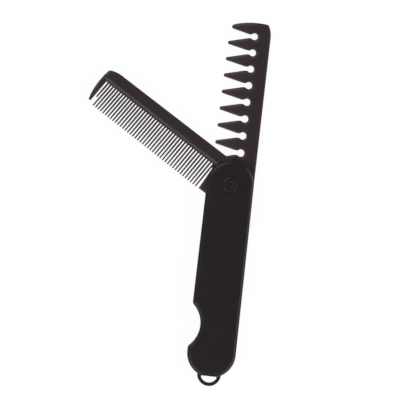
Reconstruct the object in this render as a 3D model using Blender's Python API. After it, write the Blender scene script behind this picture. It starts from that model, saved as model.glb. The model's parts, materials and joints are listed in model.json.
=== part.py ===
"""Folding pocket comb: a wide comb and a fine comb on one pivot, with a slotted handle of two shells.

The comb lies on its back. The pivot axis is the Z axis, the handle runs down from it along -Y, and the wide
comb stands open along +Y. Seen from the front, the handle's slot is on the left, at -X.
"""
import math

import bmesh
import bpy
from mathutils import Vector

MM = 0.001

# Layers through the thickness, from the back face at Z = 0 to the front face.
PLATE = 1.8 * MM
LAYER_GAP = 0.3 * MM
COMB_THICKNESS = 3.0 * MM
WIDE_LOW = PLATE + LAYER_GAP
WIDE_HIGH = WIDE_LOW + COMB_THICKNESS
FINE_LOW = WIDE_HIGH + LAYER_GAP
FINE_HIGH = FINE_LOW + COMB_THICKNESS
FRONT_PLATE_LOW = FINE_HIGH + LAYER_GAP
FRONT_FACE = FRONT_PLATE_LOW + PLATE
SEAM_LOW = WIDE_HIGH
SEAM_HIGH = FINE_LOW
CUT_PAST = 2.0 * MM

# Handle outline: a round head about the pivot, slightly flaring sides and a round foot cut flat.
HEAD_RADIUS = 13.65 * MM
FOOT_RADIUS = 14.1 * MM
FOOT_CENTRE_Y = -98.1 * MM
FOOT_FLAT_Y = -111.6 * MM
OUTER_ROUNDING = 0.9 * MM
NOTCH_RADIUS = 16.5 * MM
NOTCH_CENTRE_X = -24.75 * MM
NOTCH_CENTRE_Y = -83.1 * MM
NOTCH_CORNER = 1.6 * MM

# The wall between the two plates: down the right side and round the foot.
WALL_TOP_Y = -2.3 * MM
WALL_TOP_INNER_X = 13.0 * MM
WALL_NARROW_Y = -15.0 * MM
WALL_FULL_Y = -35.0 * MM
WALL_FULL_INNER_X = 12.2 * MM
WALL_FOOT_RADIUS = 12.6 * MM
WALL_END_Y = -97.5 * MM

# Hanging loop: a ring at mid thickness whose hole has a flat top at the foot.
LOOP_CENTRE_Y = -110.64 * MM
LOOP_OUTER_RADIUS = 6.7 * MM
LOOP_INNER_RADIUS = 4.9 * MM
LOOP_ROOT_Y = -110.0 * MM
LOOP_LOW = 3.0 * MM
LOOP_ROUNDING = 0.5 * MM

# Pivot: a boss on the back shell passes through both combs and the front plate.
BOSS_RADIUS = 3.5 * MM
BORE_RADIUS = 3.8 * MM
BOSS_TOP = 9.6 * MM
SOCKET_RADIUS = 2.0 * MM
SOCKET_BOTTOM = 3.0 * MM
CAP_RADIUS = 4.6 * MM
CAP_SEAT_RADIUS = 4.85 * MM
CAP_SEAT_Z = 9.6 * MM
CAP_LOW = CAP_SEAT_Z + LAYER_GAP
CAP_CHAMFER = 0.35 * MM
CAP_DIMPLE_RADIUS = 2.2 * MM
CAP_DIMPLE_DEPTH = 0.25 * MM
SHANK_RADIUS = 1.7 * MM
SHANK_BOTTOM = SOCKET_BOTTOM + LAYER_GAP
SHANK_INTO_CAP = 0.2 * MM

# Wide comb, in its own frame: the pivot at the origin, the spine at +X and the teeth towards -X.
WIDE_GAPS = 8
WIDE_SPINE_X_LOW = 13.65 * MM
WIDE_SPINE_X_HIGH = 13.8 * MM
WIDE_FIRST_GAP_Y = 18.9 * MM
WIDE_FIRST_PITCH = 10.0 * MM
WIDE_PITCH_LOSS = 0.095 * MM
WIDE_HOLE_X = 4.0 * MM
WIDE_HOLE_X_STEP = 0.07 * MM
WIDE_HOLE_RADIUS = 2.2 * MM
WIDE_HOLE_RADIUS_STEP = -0.025 * MM
WIDE_NECK_HALF = 1.4 * MM
WIDE_NECK_HALF_STEP = -0.03 * MM
WIDE_GAP_HALF = 1.5 * MM
WIDE_FLANK_SLOPE = 0.2375
WIDE_LEAN_STEP = 0.0028
WIDE_TIP_X = -11.4 * MM
WIDE_TIP_X_STEP = 0.148 * MM
WIDE_TOP_ARC_X = 6.5 * MM
WIDE_TOP_Y = 94.87 * MM
WIDE_TOP_ARC_RADIUS = 48.0 * MM
WIDE_TOP_ARC_START = 87.0
WIDE_TOP_ARC_END = 106.0
WIDE_BEND_RADIUS = 15.0 * MM
WIDE_BEND_Y = 87.0 * MM
WIDE_TOP_CORNER_RADIUS = 2.0 * MM
WIDE_TOP_CORNER_TURN = 27.0
WIDE_LAST_TIP_X = -7.95 * MM
WIDE_LAST_TIP_Y = 91.3 * MM
WIDE_LAST_TIP_RADIUS = 1.1 * MM
WIDE_LAST_TIP_START = 120.0
WIDE_BLOCK_TIP_X = -10.6 * MM
WIDE_BLOCK_TIP_Y = 13.66 * MM
WIDE_BLOCK_TIP_RADIUS = 0.9 * MM
WIDE_TANG_RADIUS = 12.2 * MM
WIDE_SHOULDER_Y = -2.0 * MM
WIDE_TAPER_X = 5.5 * MM
WIDE_TIP_SHARE = 0.5
WIDE_CHAMFER = 0.45 * MM

# Fine comb, in its own frame: the pivot at the origin, the spine at +X and the teeth towards -X.
FINE_REST_DEGREES = 58.72
FINE_TEETH = 42
FINE_SPINE_X = 11.65 * MM
FINE_ROOT_X = 3.45 * MM
FINE_FIRST_Y = 15.11 * MM
FINE_FIRST_PITCH = 1.882 * MM
FINE_PITCH_LOSS = 0.0025 * MM
FINE_FIRST_TIP_X = -13.2 * MM
FINE_LAST_TIP_X = -12.35 * MM
FINE_FIRST_LEAN = 0.033
FINE_LAST_LEAN = 0.060
FINE_ROOT_HALF = 0.46 * MM
FINE_TAPER_X = -4.0 * MM
FINE_TIP_HALF = 0.33 * MM
FINE_SHORT_TIP_X = -7.2 * MM
FINE_BLOCK_TOP_Y = 13.35 * MM
FINE_BLOCK_ROOT_X = 1.9 * MM
FINE_BLOCK_ROOT_Y = 14.1 * MM
FINE_BLOCK_X = -12.8 * MM
FINE_BLOCK_LOW_Y = 4.5 * MM
FINE_TANG_RADIUS = 11.65 * MM
FINE_TANG_START = 190.0
FINE_TOP_ARC_X = 2.0 * MM
FINE_TOP_Y = 97.0 * MM
FINE_TOP_ARC_RADIUS = 53.0 * MM
FINE_TOP_ARC_START = 84.0
FINE_TOP_ARC_END = 102.0
FINE_BEND_RADIUS = 17.3 * MM
FINE_BEND_Y = 88.0 * MM
FINE_TOP_CORNER_RADIUS = 2.15 * MM
FINE_TOP_CORNER_TURN = 24.5
FINE_GUARD_TIP_X = -9.95 * MM
FINE_GUARD_TIP_Y = 94.93 * MM
FINE_GUARD_TIP_RADIUS = 0.8 * MM
FINE_GUARD_TIP_START = 110.0
FINE_GUARD_TIP_END = 260.0
FINE_GUARD_INNER_Y = 93.45 * MM
FINE_LEDGE_TOP_X = 5.55 * MM
FINE_LEDGE_FOOT_X = 4.15 * MM
FINE_LEDGE_SHARE = 0.68
FINE_TIP_SHARE = 0.42

# Plastics: a dark brown-black handle, and combs of a slightly lighter brown.
HANDLE_COLOUR = (0.021, 0.018, 0.018)
HANDLE_ROUGHNESS = 0.42
COMB_COLOUR = (0.044, 0.034, 0.034)
COMB_ROUGHNESS = 0.38

# A comb's corner blends into its end a little before the top.
CORNER_END = 86.0

# Segments of the round stretches.
HEAD_STEPS = 28
NOTCH_STEPS = 14
LOOP_STEPS = 20
CORNER_STEPS = 5
ROUND_SEGMENTS = 32
HOLE_STEPS = 12
TIP_STEPS = 4
ROUNDING_STEPS = 3
TOP_ARC_STEPS = 9

# Edges that turn more than this stay sharp.
SMOOTH_LIMIT = 35.0


def arc(centre, radius, start, end, steps):
    """Points of an arc from one angle to another, in degrees, both ends included."""
    points = []
    for step in range(steps + 1):
        angle = math.radians(start + (end - start) * step / steps)
        points.append(Vector((centre[0] + radius * math.cos(angle), centre[1] + radius * math.sin(angle))))
    return points


def soften(before, corner, after, radius, steps):
    """The arc that rounds one corner between two straight stretches."""
    corner = Vector(corner)
    to_before = (Vector(before) - corner).normalized()
    to_after = (Vector(after) - corner).normalized()
    half = to_before.angle(to_after) / 2
    reach = radius / math.tan(half)
    start = corner + to_before * reach
    end = corner + to_after * reach
    middle = corner + (to_before + to_after).normalized() * (radius / math.sin(half))
    first = start - middle
    turn = first.angle_signed(end - middle)
    points = []
    for step in range(steps + 1):
        angle = -turn * step / steps
        cosine = math.cos(angle)
        sine = math.sin(angle)
        points.append(middle + Vector((first.x * cosine - first.y * sine, first.x * sine + first.y * cosine)))
    return points


def inset(outline, distance):
    """The outline moved inwards by a distance, corner by corner."""
    moved = []
    count = len(outline)
    for index, point in enumerate(outline):
        along = (point - outline[index - 1]).normalized()
        onward = (outline[(index + 1) % count] - point).normalized()
        normal = Vector((-along.y - onward.y, along.x + onward.x)).normalized()
        stretch = max(normal.dot(Vector((-along.y, along.x))), 0.5)
        moved.append(point + normal * (distance / stretch))
    return moved


def rounding(radius, steps):
    """Inset and height pairs of a quarter-round edge, from the side wall to the face."""
    pairs = []
    for step in range(steps + 1):
        angle = math.pi / 2 * step / steps
        pairs.append((radius * (1 - math.cos(angle)), radius * (1 - math.sin(angle))))
    return pairs


def chamfer(width):
    """Inset and height pairs of a plain chamfer."""
    return [(0.0, width), (width, 0.0)]


def stack(name, outline, low, high, low_edge=((0.0, 0.0),), high_edge=((0.0, 0.0),)):
    """A closed upright solid of one outline, its lower and upper edges shaped by inset and height pairs."""
    levels = [(inward, low + rise) for inward, rise in reversed(low_edge)]
    levels += [(inward, high - drop) for inward, drop in high_edge]
    mesh = bmesh.new()
    rings = []
    for inward, height in levels:
        ring = [mesh.verts.new((point.x, point.y, height)) for point in inset(outline, inward)]
        rings.append(ring)
    count = len(outline)
    for lower, upper in zip(rings, rings[1:]):
        for index in range(count):
            following = (index + 1) % count
            mesh.faces.new((lower[index], lower[following], upper[following], upper[index]))
    mesh.faces.new(list(reversed(rings[0])))
    mesh.faces.new(rings[-1])
    return finish_mesh(name, mesh)


def finish_mesh(name, mesh):
    """An object from a bmesh, linked to the scene."""
    data = bpy.data.meshes.new(name)
    mesh.to_mesh(data)
    mesh.free()
    thing = bpy.data.objects.new(name, data)
    bpy.context.scene.collection.objects.link(thing)
    return thing


def cylinder(name, radius, low, high):
    """A round solid on the pivot axis."""
    return stack(name, arc((0.0, 0.0), radius, 0.0, 360.0, ROUND_SEGMENTS)[:-1], low, high)


def combine(thing, tool, operation):
    """Apply one tool solid to a thing with a Boolean modifier, and keep the tool as a hidden guide."""
    tool.hide_render = True
    tool.display_type = "WIRE"
    step = thing.modifiers.new(tool.name, "BOOLEAN")
    step.object = tool
    step.operation = operation
    step.solver = "EXACT"


def taper(thing, middle, stations):
    """Thin the solid along X: each station is a position and the share of the thickness left there."""
    mesh = bmesh.new()
    mesh.from_mesh(thing.data)
    for station, _ in stations:
        geometry = mesh.verts[:] + mesh.edges[:] + mesh.faces[:]
        bmesh.ops.bisect_plane(mesh, geom=geometry, plane_co=(station, 0.0, 0.0), plane_no=(1.0, 0.0, 0.0))
    for vertex in mesh.verts:
        vertex.co.z = middle + (vertex.co.z - middle) * share_at(vertex.co.x, stations)
    mesh.to_mesh(thing.data)
    mesh.free()


def share_at(position, stations):
    """The share of the thickness at a position, read from stations that run from the spine to the tips."""
    if position >= stations[0][0]:
        return stations[0][1]
    for (upper, upper_share), (lower, lower_share) in zip(stations, stations[1:]):
        if position >= lower:
            return lower_share + (upper_share - lower_share) * (position - lower) / (upper - lower)
    return stations[-1][1]


def shade(thing):
    """Smooth the round stretches and keep the corners sharp."""
    thing.data.shade_smooth()
    thing.data.set_sharp_from_angle(angle=math.radians(SMOOTH_LIMIT))


def paint(thing, name, colour, roughness):
    """Give a sub-part its own plastic."""
    material = bpy.data.materials.new(name)
    material.use_nodes = True
    surface = material.node_tree.nodes["Principled BSDF"]
    surface.inputs["Base Color"].default_value = (*colour, 1.0)
    surface.inputs["Roughness"].default_value = roughness
    surface.inputs["Metallic"].default_value = 0.0
    thing.data.materials.append(material)


def side_x(height):
    """Half width of the handle at a height between the head and the foot."""
    share = height / FOOT_CENTRE_Y
    return HEAD_RADIUS + (FOOT_RADIUS - HEAD_RADIUS) * share


def handle_outline():
    """The outline of both shells: head, notched left side, foot with its flat, right side."""
    notch_spread = math.degrees(math.acos((-side_x(NOTCH_CENTRE_Y) - NOTCH_CENTRE_X) / NOTCH_RADIUS))
    notch = arc((NOTCH_CENTRE_X, NOTCH_CENTRE_Y), NOTCH_RADIUS, notch_spread, -notch_spread, NOTCH_STEPS)
    upper = notch[0]
    lower = notch[-1]
    flat_angle = math.degrees(math.asin((FOOT_FLAT_Y - FOOT_CENTRE_Y) / FOOT_RADIUS))
    foot_steps = HEAD_STEPS // 2
    points = arc((0.0, 0.0), HEAD_RADIUS, 0.0, 180.0, HEAD_STEPS)
    points += soften((-HEAD_RADIUS, 0.0), upper, notch[2], NOTCH_CORNER, CORNER_STEPS)
    points += notch[2:-2]
    points += soften(notch[-3], lower, (-FOOT_RADIUS, FOOT_CENTRE_Y), NOTCH_CORNER, CORNER_STEPS)
    points += arc((0.0, FOOT_CENTRE_Y), FOOT_RADIUS, 180.0, 180.0 - flat_angle, foot_steps)
    points += arc((0.0, FOOT_CENTRE_Y), FOOT_RADIUS, 360.0 + flat_angle, 360.0, foot_steps)
    return points


def hollow_outline():
    """The outline of the room between the plates: open at the head and down the left side."""
    beyond = HEAD_RADIUS + FOOT_RADIUS
    points = [Vector((beyond, WALL_TOP_Y)), Vector((beyond, beyond))]
    points += [Vector((-beyond, beyond)), Vector((-beyond, WALL_END_Y))]
    points += [Vector((-WALL_FOOT_RADIUS, WALL_END_Y))]
    points += arc((0.0, FOOT_CENTRE_Y), WALL_FOOT_RADIUS, 180.0, 360.0, HEAD_STEPS)
    points += [Vector((WALL_FULL_INNER_X, WALL_FULL_Y)), Vector((WALL_TOP_INNER_X, WALL_NARROW_Y))]
    points += [Vector((WALL_TOP_INNER_X, WALL_TOP_Y))]
    return points


def loop_outline():
    """The hanging loop: a ring open at the top, its two ends inside the foot's wall."""
    outer = arc((0.0, LOOP_CENTRE_Y), LOOP_OUTER_RADIUS, 180.0, 360.0, LOOP_STEPS)
    inner_turn = math.degrees(math.asin((FOOT_FLAT_Y - LOOP_CENTRE_Y) / LOOP_INNER_RADIUS))
    inner = arc((0.0, LOOP_CENTRE_Y), LOOP_INNER_RADIUS, 360.0 + inner_turn, 180.0 - inner_turn, LOOP_STEPS)
    points = [Vector((-LOOP_OUTER_RADIUS, LOOP_ROOT_Y))]
    points += outer
    points += [Vector((LOOP_OUTER_RADIUS, LOOP_ROOT_Y)), Vector((inner[0].x, LOOP_ROOT_Y))]
    points += inner
    points += [Vector((inner[-1].x, LOOP_ROOT_Y))]
    return points


def make_back_shell():
    """The back half: plate, wall, boss with its socket, and the hanging loop."""
    edge = rounding(OUTER_ROUNDING, ROUNDING_STEPS)
    shell = stack("back_shell", handle_outline(), 0.0, SEAM_LOW, low_edge=edge)
    hollow = stack("back_hollow", hollow_outline(), PLATE, SEAM_LOW + CUT_PAST)
    combine(shell, hollow, "DIFFERENCE")
    boss = cylinder("boss", BOSS_RADIUS, PLATE / 2, BOSS_TOP)
    combine(shell, boss, "UNION")
    bevel = chamfer(LOOP_ROUNDING)
    loop = stack("hanging_loop", loop_outline(), LOOP_LOW, SEAM_LOW, low_edge=bevel, high_edge=bevel)
    combine(shell, loop, "UNION")
    socket = cylinder("socket", SOCKET_RADIUS, SOCKET_BOTTOM, BOSS_TOP + CUT_PAST)
    combine(shell, socket, "DIFFERENCE")
    return shell


def make_front_shell():
    """The front half: plate and wall, with the hole for the boss and the seat for the cap."""
    edge = rounding(OUTER_ROUNDING, ROUNDING_STEPS)
    shell = stack("front_shell", handle_outline(), SEAM_HIGH, FRONT_FACE, high_edge=edge)
    hollow = stack("front_hollow", hollow_outline(), SEAM_HIGH - CUT_PAST, FRONT_PLATE_LOW)
    combine(shell, hollow, "DIFFERENCE")
    hole = cylinder("boss_hole", BORE_RADIUS, FINE_HIGH, FRONT_FACE + CUT_PAST)
    combine(shell, hole, "DIFFERENCE")
    seat = cylinder("cap_seat", CAP_SEAT_RADIUS, CAP_SEAT_Z, FRONT_FACE + CUT_PAST)
    combine(shell, seat, "DIFFERENCE")
    return shell


def make_pivot_cap():
    """The cap: a chamfered disc with a shallow dimple, and the shank that holds it in the boss."""
    outline = arc((0.0, 0.0), CAP_RADIUS, 0.0, 360.0, ROUND_SEGMENTS)[:-1]
    cap = stack("pivot_cap", outline, CAP_LOW, FRONT_FACE, high_edge=chamfer(CAP_CHAMFER))
    shank = cylinder("shank", SHANK_RADIUS, SHANK_BOTTOM, CAP_LOW + SHANK_INTO_CAP)
    combine(cap, shank, "UNION")
    dimple = cylinder("dimple", CAP_DIMPLE_RADIUS, FRONT_FACE - CAP_DIMPLE_DEPTH, FRONT_FACE + CUT_PAST)
    combine(cap, dimple, "DIFFERENCE")
    return cap


def wide_gap_y(index):
    """Height of the middle of one keyhole gap: the pitch shrinks a little from each gap to the next."""
    return WIDE_FIRST_GAP_Y + WIDE_FIRST_PITCH * index - WIDE_PITCH_LOSS * index * (index - 1) / 2


def end_corner(spine_x, bend_y, bend_radius, corner_radius, turn):
    """The corner between a comb's spine and its end: a gentle bend of the spine, then a tighter round."""
    centre = Vector((spine_x - bend_radius, bend_y))
    onward = Vector((math.cos(math.radians(turn)), math.sin(math.radians(turn))))
    corner_centre = centre + onward * (bend_radius - corner_radius)
    points = arc(centre, bend_radius, 0.0, turn, CORNER_STEPS)
    points += arc(corner_centre, corner_radius, turn, CORNER_END, CORNER_STEPS)[1:]
    return points


def wide_gap_points(index):
    """One keyhole gap from its upper flank to its lower one: neck, round hole, neck."""
    middle = wide_gap_y(index)
    hole_x = WIDE_HOLE_X + WIDE_HOLE_X_STEP * index
    radius = WIDE_HOLE_RADIUS + WIDE_HOLE_RADIUS_STEP * index
    neck_half = WIDE_NECK_HALF + WIDE_NECK_HALF_STEP * index
    neck_x = (WIDE_GAP_HALF - neck_half) / WIDE_FLANK_SLOPE
    spread = 180.0 - math.degrees(math.asin(neck_half / radius))
    points = [Vector((neck_x, middle + neck_half))]
    points += arc((hole_x, middle), radius, spread, -spread, HOLE_STEPS)
    points += [Vector((neck_x, middle - neck_half))]
    return points


def wide_tip_points(index):
    """The round tip of the tooth between one gap and the next, from its upper side to its lower side."""
    flank_angle = math.atan(WIDE_FLANK_SLOPE)
    tip_x = WIDE_TIP_X + WIDE_TIP_X_STEP * index
    middle = (wide_gap_y(index) + wide_gap_y(index + 1)) / 2 + WIDE_LEAN_STEP * (index + 1) * tip_x
    half = (wide_gap_y(index + 1) - wide_gap_y(index)) / 2 - WIDE_GAP_HALF + WIDE_FLANK_SLOPE * tip_x
    radius = half * math.cos(flank_angle) / (1 - WIDE_FLANK_SLOPE * math.cos(flank_angle))
    turn = 90.0 + math.degrees(flank_angle)
    return arc((tip_x + radius, middle), radius, turn, 360.0 - turn, TIP_STEPS)


def wide_outline():
    """The wide comb: spine, curved top end, teeth from the top down, and the tang about the pivot."""
    flank_turn = 90.0 + math.degrees(math.atan(WIDE_FLANK_SLOPE))
    top_centre = (WIDE_TOP_ARC_X, WIDE_TOP_Y - WIDE_TOP_ARC_RADIUS)
    tang_start = math.degrees(math.asin(WIDE_SHOULDER_Y / WIDE_TANG_RADIUS))
    block_x = WIDE_BLOCK_TIP_X - WIDE_BLOCK_TIP_RADIUS
    tang_end = math.degrees(math.acos(block_x / WIDE_TANG_RADIUS))
    points = [Vector((WIDE_SPINE_X_LOW, WIDE_SHOULDER_Y))]
    points += end_corner(
        WIDE_SPINE_X_HIGH, WIDE_BEND_Y, WIDE_BEND_RADIUS, WIDE_TOP_CORNER_RADIUS, WIDE_TOP_CORNER_TURN
    )
    points += arc(top_centre, WIDE_TOP_ARC_RADIUS, WIDE_TOP_ARC_START, WIDE_TOP_ARC_END, TOP_ARC_STEPS)
    last_tip = (WIDE_LAST_TIP_X, WIDE_LAST_TIP_Y)
    points += arc(last_tip, WIDE_LAST_TIP_RADIUS, WIDE_LAST_TIP_START, 360.0 - flank_turn, TIP_STEPS)
    for index in reversed(range(WIDE_GAPS)):
        points += wide_gap_points(index)
        if index:
            points += wide_tip_points(index - 1)
    block_tip = (WIDE_BLOCK_TIP_X, WIDE_BLOCK_TIP_Y)
    points += arc(block_tip, WIDE_BLOCK_TIP_RADIUS, flank_turn, 180.0, TIP_STEPS)
    points += arc((0.0, 0.0), WIDE_TANG_RADIUS, tang_end, 360.0 + tang_start, HEAD_STEPS)
    return points


def make_wide_comb():
    """The wide comb in the back layer."""
    edge = chamfer(WIDE_CHAMFER)
    comb = stack("wide_comb", wide_outline(), WIDE_LOW, WIDE_HIGH, low_edge=edge, high_edge=edge)
    stations = [(WIDE_TAPER_X, 1.0), (WIDE_TIP_X, WIDE_TIP_SHARE)]
    taper(comb, (WIDE_LOW + WIDE_HIGH) / 2, stations)
    bore = cylinder("wide_bore", BORE_RADIUS, WIDE_LOW - CUT_PAST, WIDE_HIGH + CUT_PAST)
    combine(comb, bore, "DIFFERENCE")
    return comb


def fine_tooth_y(index):
    """Height of one fine tooth where it crosses the comb's middle line: the pitch shrinks towards the end."""
    return FINE_FIRST_Y + FINE_FIRST_PITCH * index - FINE_PITCH_LOSS * index * (index - 1) / 2


def fine_tooth_points(index, tip_x):
    """One fine tooth from its upper root to its lower root: it leans towards the comb's end and then tapers."""
    share = index / (FINE_TEETH - 1)
    lean = FINE_FIRST_LEAN + (FINE_LAST_LEAN - FINE_FIRST_LEAN) * share
    middle = fine_tooth_y(index)
    root_y = middle - lean * FINE_ROOT_X
    tip_y = middle - lean * tip_x
    taper_y = middle - lean * FINE_TAPER_X
    round_x = tip_x + FINE_TIP_HALF
    points = [
        Vector((FINE_ROOT_X - FINE_ROOT_HALF, root_y + FINE_ROOT_HALF)),
        Vector((FINE_TAPER_X, taper_y + FINE_ROOT_HALF)),
    ]
    points += arc((round_x, tip_y), FINE_TIP_HALF, 90.0, 270.0, TIP_STEPS)
    points += [
        Vector((FINE_TAPER_X, taper_y - FINE_ROOT_HALF)),
        Vector((FINE_ROOT_X - FINE_ROOT_HALF, root_y - FINE_ROOT_HALF)),
    ]
    return points


def fine_outline():
    """The fine comb: spine, rounded end with its guard tooth, fine teeth from the end down, and the tang."""
    top_centre = (FINE_TOP_ARC_X, FINE_TOP_Y - FINE_TOP_ARC_RADIUS)
    points = end_corner(
        FINE_SPINE_X, FINE_BEND_Y, FINE_BEND_RADIUS, FINE_TOP_CORNER_RADIUS, FINE_TOP_CORNER_TURN
    )
    points += arc(top_centre, FINE_TOP_ARC_RADIUS, FINE_TOP_ARC_START, FINE_TOP_ARC_END, TOP_ARC_STEPS)
    guard_tip = (FINE_GUARD_TIP_X, FINE_GUARD_TIP_Y)
    points += arc(guard_tip, FINE_GUARD_TIP_RADIUS, FINE_GUARD_TIP_START, FINE_GUARD_TIP_END, TIP_STEPS)
    points += [Vector((FINE_ROOT_X - FINE_ROOT_HALF, FINE_GUARD_INNER_Y))]
    points += [Vector((FINE_ROOT_X, FINE_GUARD_INNER_Y - FINE_ROOT_HALF))]
    for index in reversed(range(FINE_TEETH + 1)):
        tip_share = index / (FINE_TEETH - 1)
        tip_x = FINE_FIRST_TIP_X + (FINE_LAST_TIP_X - FINE_FIRST_TIP_X) * tip_share
        if index == FINE_TEETH:
            tip_x = FINE_SHORT_TIP_X
        tooth = fine_tooth_points(index, tip_x)
        points += [Vector((FINE_ROOT_X, tooth[0].y + FINE_ROOT_HALF / 2))]
        points += tooth
        if index:
            points += [Vector((FINE_ROOT_X, tooth[-1].y - FINE_ROOT_HALF / 2))]
    points += [Vector((FINE_BLOCK_ROOT_X, FINE_BLOCK_ROOT_Y)), Vector((FINE_BLOCK_X, FINE_BLOCK_TOP_Y))]
    points += [Vector((FINE_BLOCK_X, FINE_BLOCK_LOW_Y))]
    points += arc((0.0, 0.0), FINE_TANG_RADIUS, FINE_TANG_START, 360.0, HEAD_STEPS)
    return points


def make_fine_comb():
    """The fine comb in the front layer, turned about the pivot to where it is shown."""
    comb = stack("fine_comb", fine_outline(), FINE_LOW, FINE_HIGH)
    stations = [(FINE_LEDGE_TOP_X, 1.0), (FINE_LEDGE_FOOT_X, FINE_LEDGE_SHARE)]
    stations += [(FINE_FIRST_TIP_X, FINE_TIP_SHARE)]
    taper(comb, (FINE_LOW + FINE_HIGH) / 2, stations)
    bore = cylinder("fine_bore", BORE_RADIUS, FINE_LOW - CUT_PAST, FINE_HIGH + CUT_PAST)
    combine(comb, bore, "DIFFERENCE")
    comb.rotation_euler.z = math.radians(FINE_REST_DEGREES)
    return comb


def clear_scene():
    """Start from an empty scene."""
    for thing in list(bpy.data.objects):
        bpy.data.objects.remove(thing, do_unlink=True)


def main():
    """Make the five pieces, each in its own plastic."""
    clear_scene()
    pieces = (
        (make_back_shell(), "handle_back_plastic", HANDLE_COLOUR, HANDLE_ROUGHNESS),
        (make_front_shell(), "handle_front_plastic", HANDLE_COLOUR, HANDLE_ROUGHNESS),
        (make_wide_comb(), "wide_comb_plastic", COMB_COLOUR, COMB_ROUGHNESS),
        (make_fine_comb(), "fine_comb_plastic", COMB_COLOUR, COMB_ROUGHNESS),
        (make_pivot_cap(), "cap_plastic", HANDLE_COLOUR, HANDLE_ROUGHNESS),
    )
    for thing, finish, colour, roughness in pieces:
        shade(thing)
        paint(thing, finish, colour, roughness)


main()
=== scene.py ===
"""Folding pocket comb: the finished covers, pivot button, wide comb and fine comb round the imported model.

Laid out as an add-on: each operator makes one piece or one group of like pieces, and a panel in the 3D
view's sidebar lists them. The pivot is the Z axis, the handle runs along -Y and the front faces +Z. Each comb
is drawn with its spine at +X and its teeth towards -X, and the fine comb is then turned about the pivot.
"""
import json
import math

import bmesh
import bpy
import numpy as np
from bpy.props import FloatProperty, FloatVectorProperty, IntProperty, PointerProperty
from bpy.types import Operator, Panel, PropertyGroup
from mathutils import Matrix, Vector
from mathutils.geometry import delaunay_2d_cdt

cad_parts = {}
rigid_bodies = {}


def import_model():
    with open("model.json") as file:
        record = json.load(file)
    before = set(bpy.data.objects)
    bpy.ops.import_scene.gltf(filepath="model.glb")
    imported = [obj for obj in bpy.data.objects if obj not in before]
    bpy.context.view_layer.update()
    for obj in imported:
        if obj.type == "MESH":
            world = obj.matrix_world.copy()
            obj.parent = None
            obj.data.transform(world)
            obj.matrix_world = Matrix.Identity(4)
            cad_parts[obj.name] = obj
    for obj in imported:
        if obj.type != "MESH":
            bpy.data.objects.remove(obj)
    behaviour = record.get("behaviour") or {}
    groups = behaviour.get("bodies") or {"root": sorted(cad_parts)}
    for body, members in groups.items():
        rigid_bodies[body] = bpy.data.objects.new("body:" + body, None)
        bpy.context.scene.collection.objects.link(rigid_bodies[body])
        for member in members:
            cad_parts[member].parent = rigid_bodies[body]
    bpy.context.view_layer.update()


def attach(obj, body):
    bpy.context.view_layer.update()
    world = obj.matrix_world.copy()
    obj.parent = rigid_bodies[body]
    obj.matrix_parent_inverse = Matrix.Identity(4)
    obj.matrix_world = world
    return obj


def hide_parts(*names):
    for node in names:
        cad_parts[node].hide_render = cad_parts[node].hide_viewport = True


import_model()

bl_info = {
    "name": "Folding Pocket Comb",
    "version": (1, 0, 0),
    "blender": (4, 5, 0),
    "location": "View3D > Sidebar > Comb",
    "description": "Makes a folding comb's covers, pivot button, wide comb and fine comb, and its studio",
    "category": "Object",
}

MM = 0.001

# Layers through the thickness, from the back face at Z = 0 to the front face.
PLATE = 1.8 * MM
LAYER_GAP = 0.3 * MM
COMB_THICKNESS = 3.0 * MM
WIDE_LOW = PLATE + LAYER_GAP
WIDE_HIGH = WIDE_LOW + COMB_THICKNESS
FINE_LOW = WIDE_HIGH + LAYER_GAP
FINE_HIGH = FINE_LOW + COMB_THICKNESS
FRONT_PLATE_LOW = FINE_HIGH + LAYER_GAP
FRONT_FACE = FRONT_PLATE_LOW + PLATE
SEAM_MIDDLE = (WIDE_HIGH + FINE_LOW) / 2
CUT_PAST = 2.0 * MM

# Covers: a round head about the pivot, slightly flaring sides, a thumb notch and a round foot cut flat.
HEAD_RADIUS = 13.65 * MM
FOOT_RADIUS = 14.1 * MM
FOOT_CENTRE_Y = -98.1 * MM
FOOT_FLAT_Y = -111.5 * MM
NOTCH_RADIUS = 16.5 * MM
NOTCH_CENTRE_X = -24.75 * MM
NOTCH_CENTRE_Y = -83.1 * MM
NOTCH_CORNER_REACH = 1.2 * MM
FLAT_CORNER_REACH = 0.6 * MM
SEAM_CHAMFER = 0.2 * MM
CROWN_MOST = 1.2

# The wall between the two plates: down the right side and round the foot.
WALL_TOP_Y = -2.3 * MM
WALL_TOP_INNER_X = 13.0 * MM
WALL_NARROW_Y = -15.0 * MM
WALL_FULL_Y = -35.0 * MM
WALL_FULL_INNER_X = 12.2 * MM
WALL_FOOT_RADIUS = 12.6 * MM
WALL_END_Y = -97.5 * MM

# Hanging loop: a ring at mid thickness whose hole has a flat top at the foot.
LOOP_CENTRE_Y = -110.64 * MM
LOOP_OUTER_RADIUS = 6.93 * MM
LOOP_INNER_RADIUS = 4.9 * MM
LOOP_ROOT_Y = -110.0 * MM
LOOP_LOW = 3.0 * MM
LOOP_HIGH = 5.1 * MM
LOOP_HOLE_INTO_FOOT = 0.04 * MM
LOOP_CORNER_REACH = 1.6 * MM

# Pivot: a boss on the back cover passes through both combs and the front plate, and the button closes it.
BOSS_RADIUS = 3.5 * MM
BORE_RADIUS = 3.8 * MM
BOSS_TOP = 9.6 * MM
SOCKET_RADIUS = 2.0 * MM
SOCKET_BOTTOM = 3.0 * MM
BUTTON_RADIUS = 4.6 * MM
BUTTON_LOW = 9.9 * MM
SHANK_RADIUS = 1.7 * MM
SHANK_BOTTOM = 3.3 * MM

# The button's dimple, as shares of its radius and depth, and how much of the face inside the rim is flat.
DIMPLE_PROFILE = ((0.0, 1.0), (0.7, 0.95), (0.92, 0.6), (1.0, 0.2), (1.12, 0.125), (1.4, 0.0))
RIM_FLAT = 0.95

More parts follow.
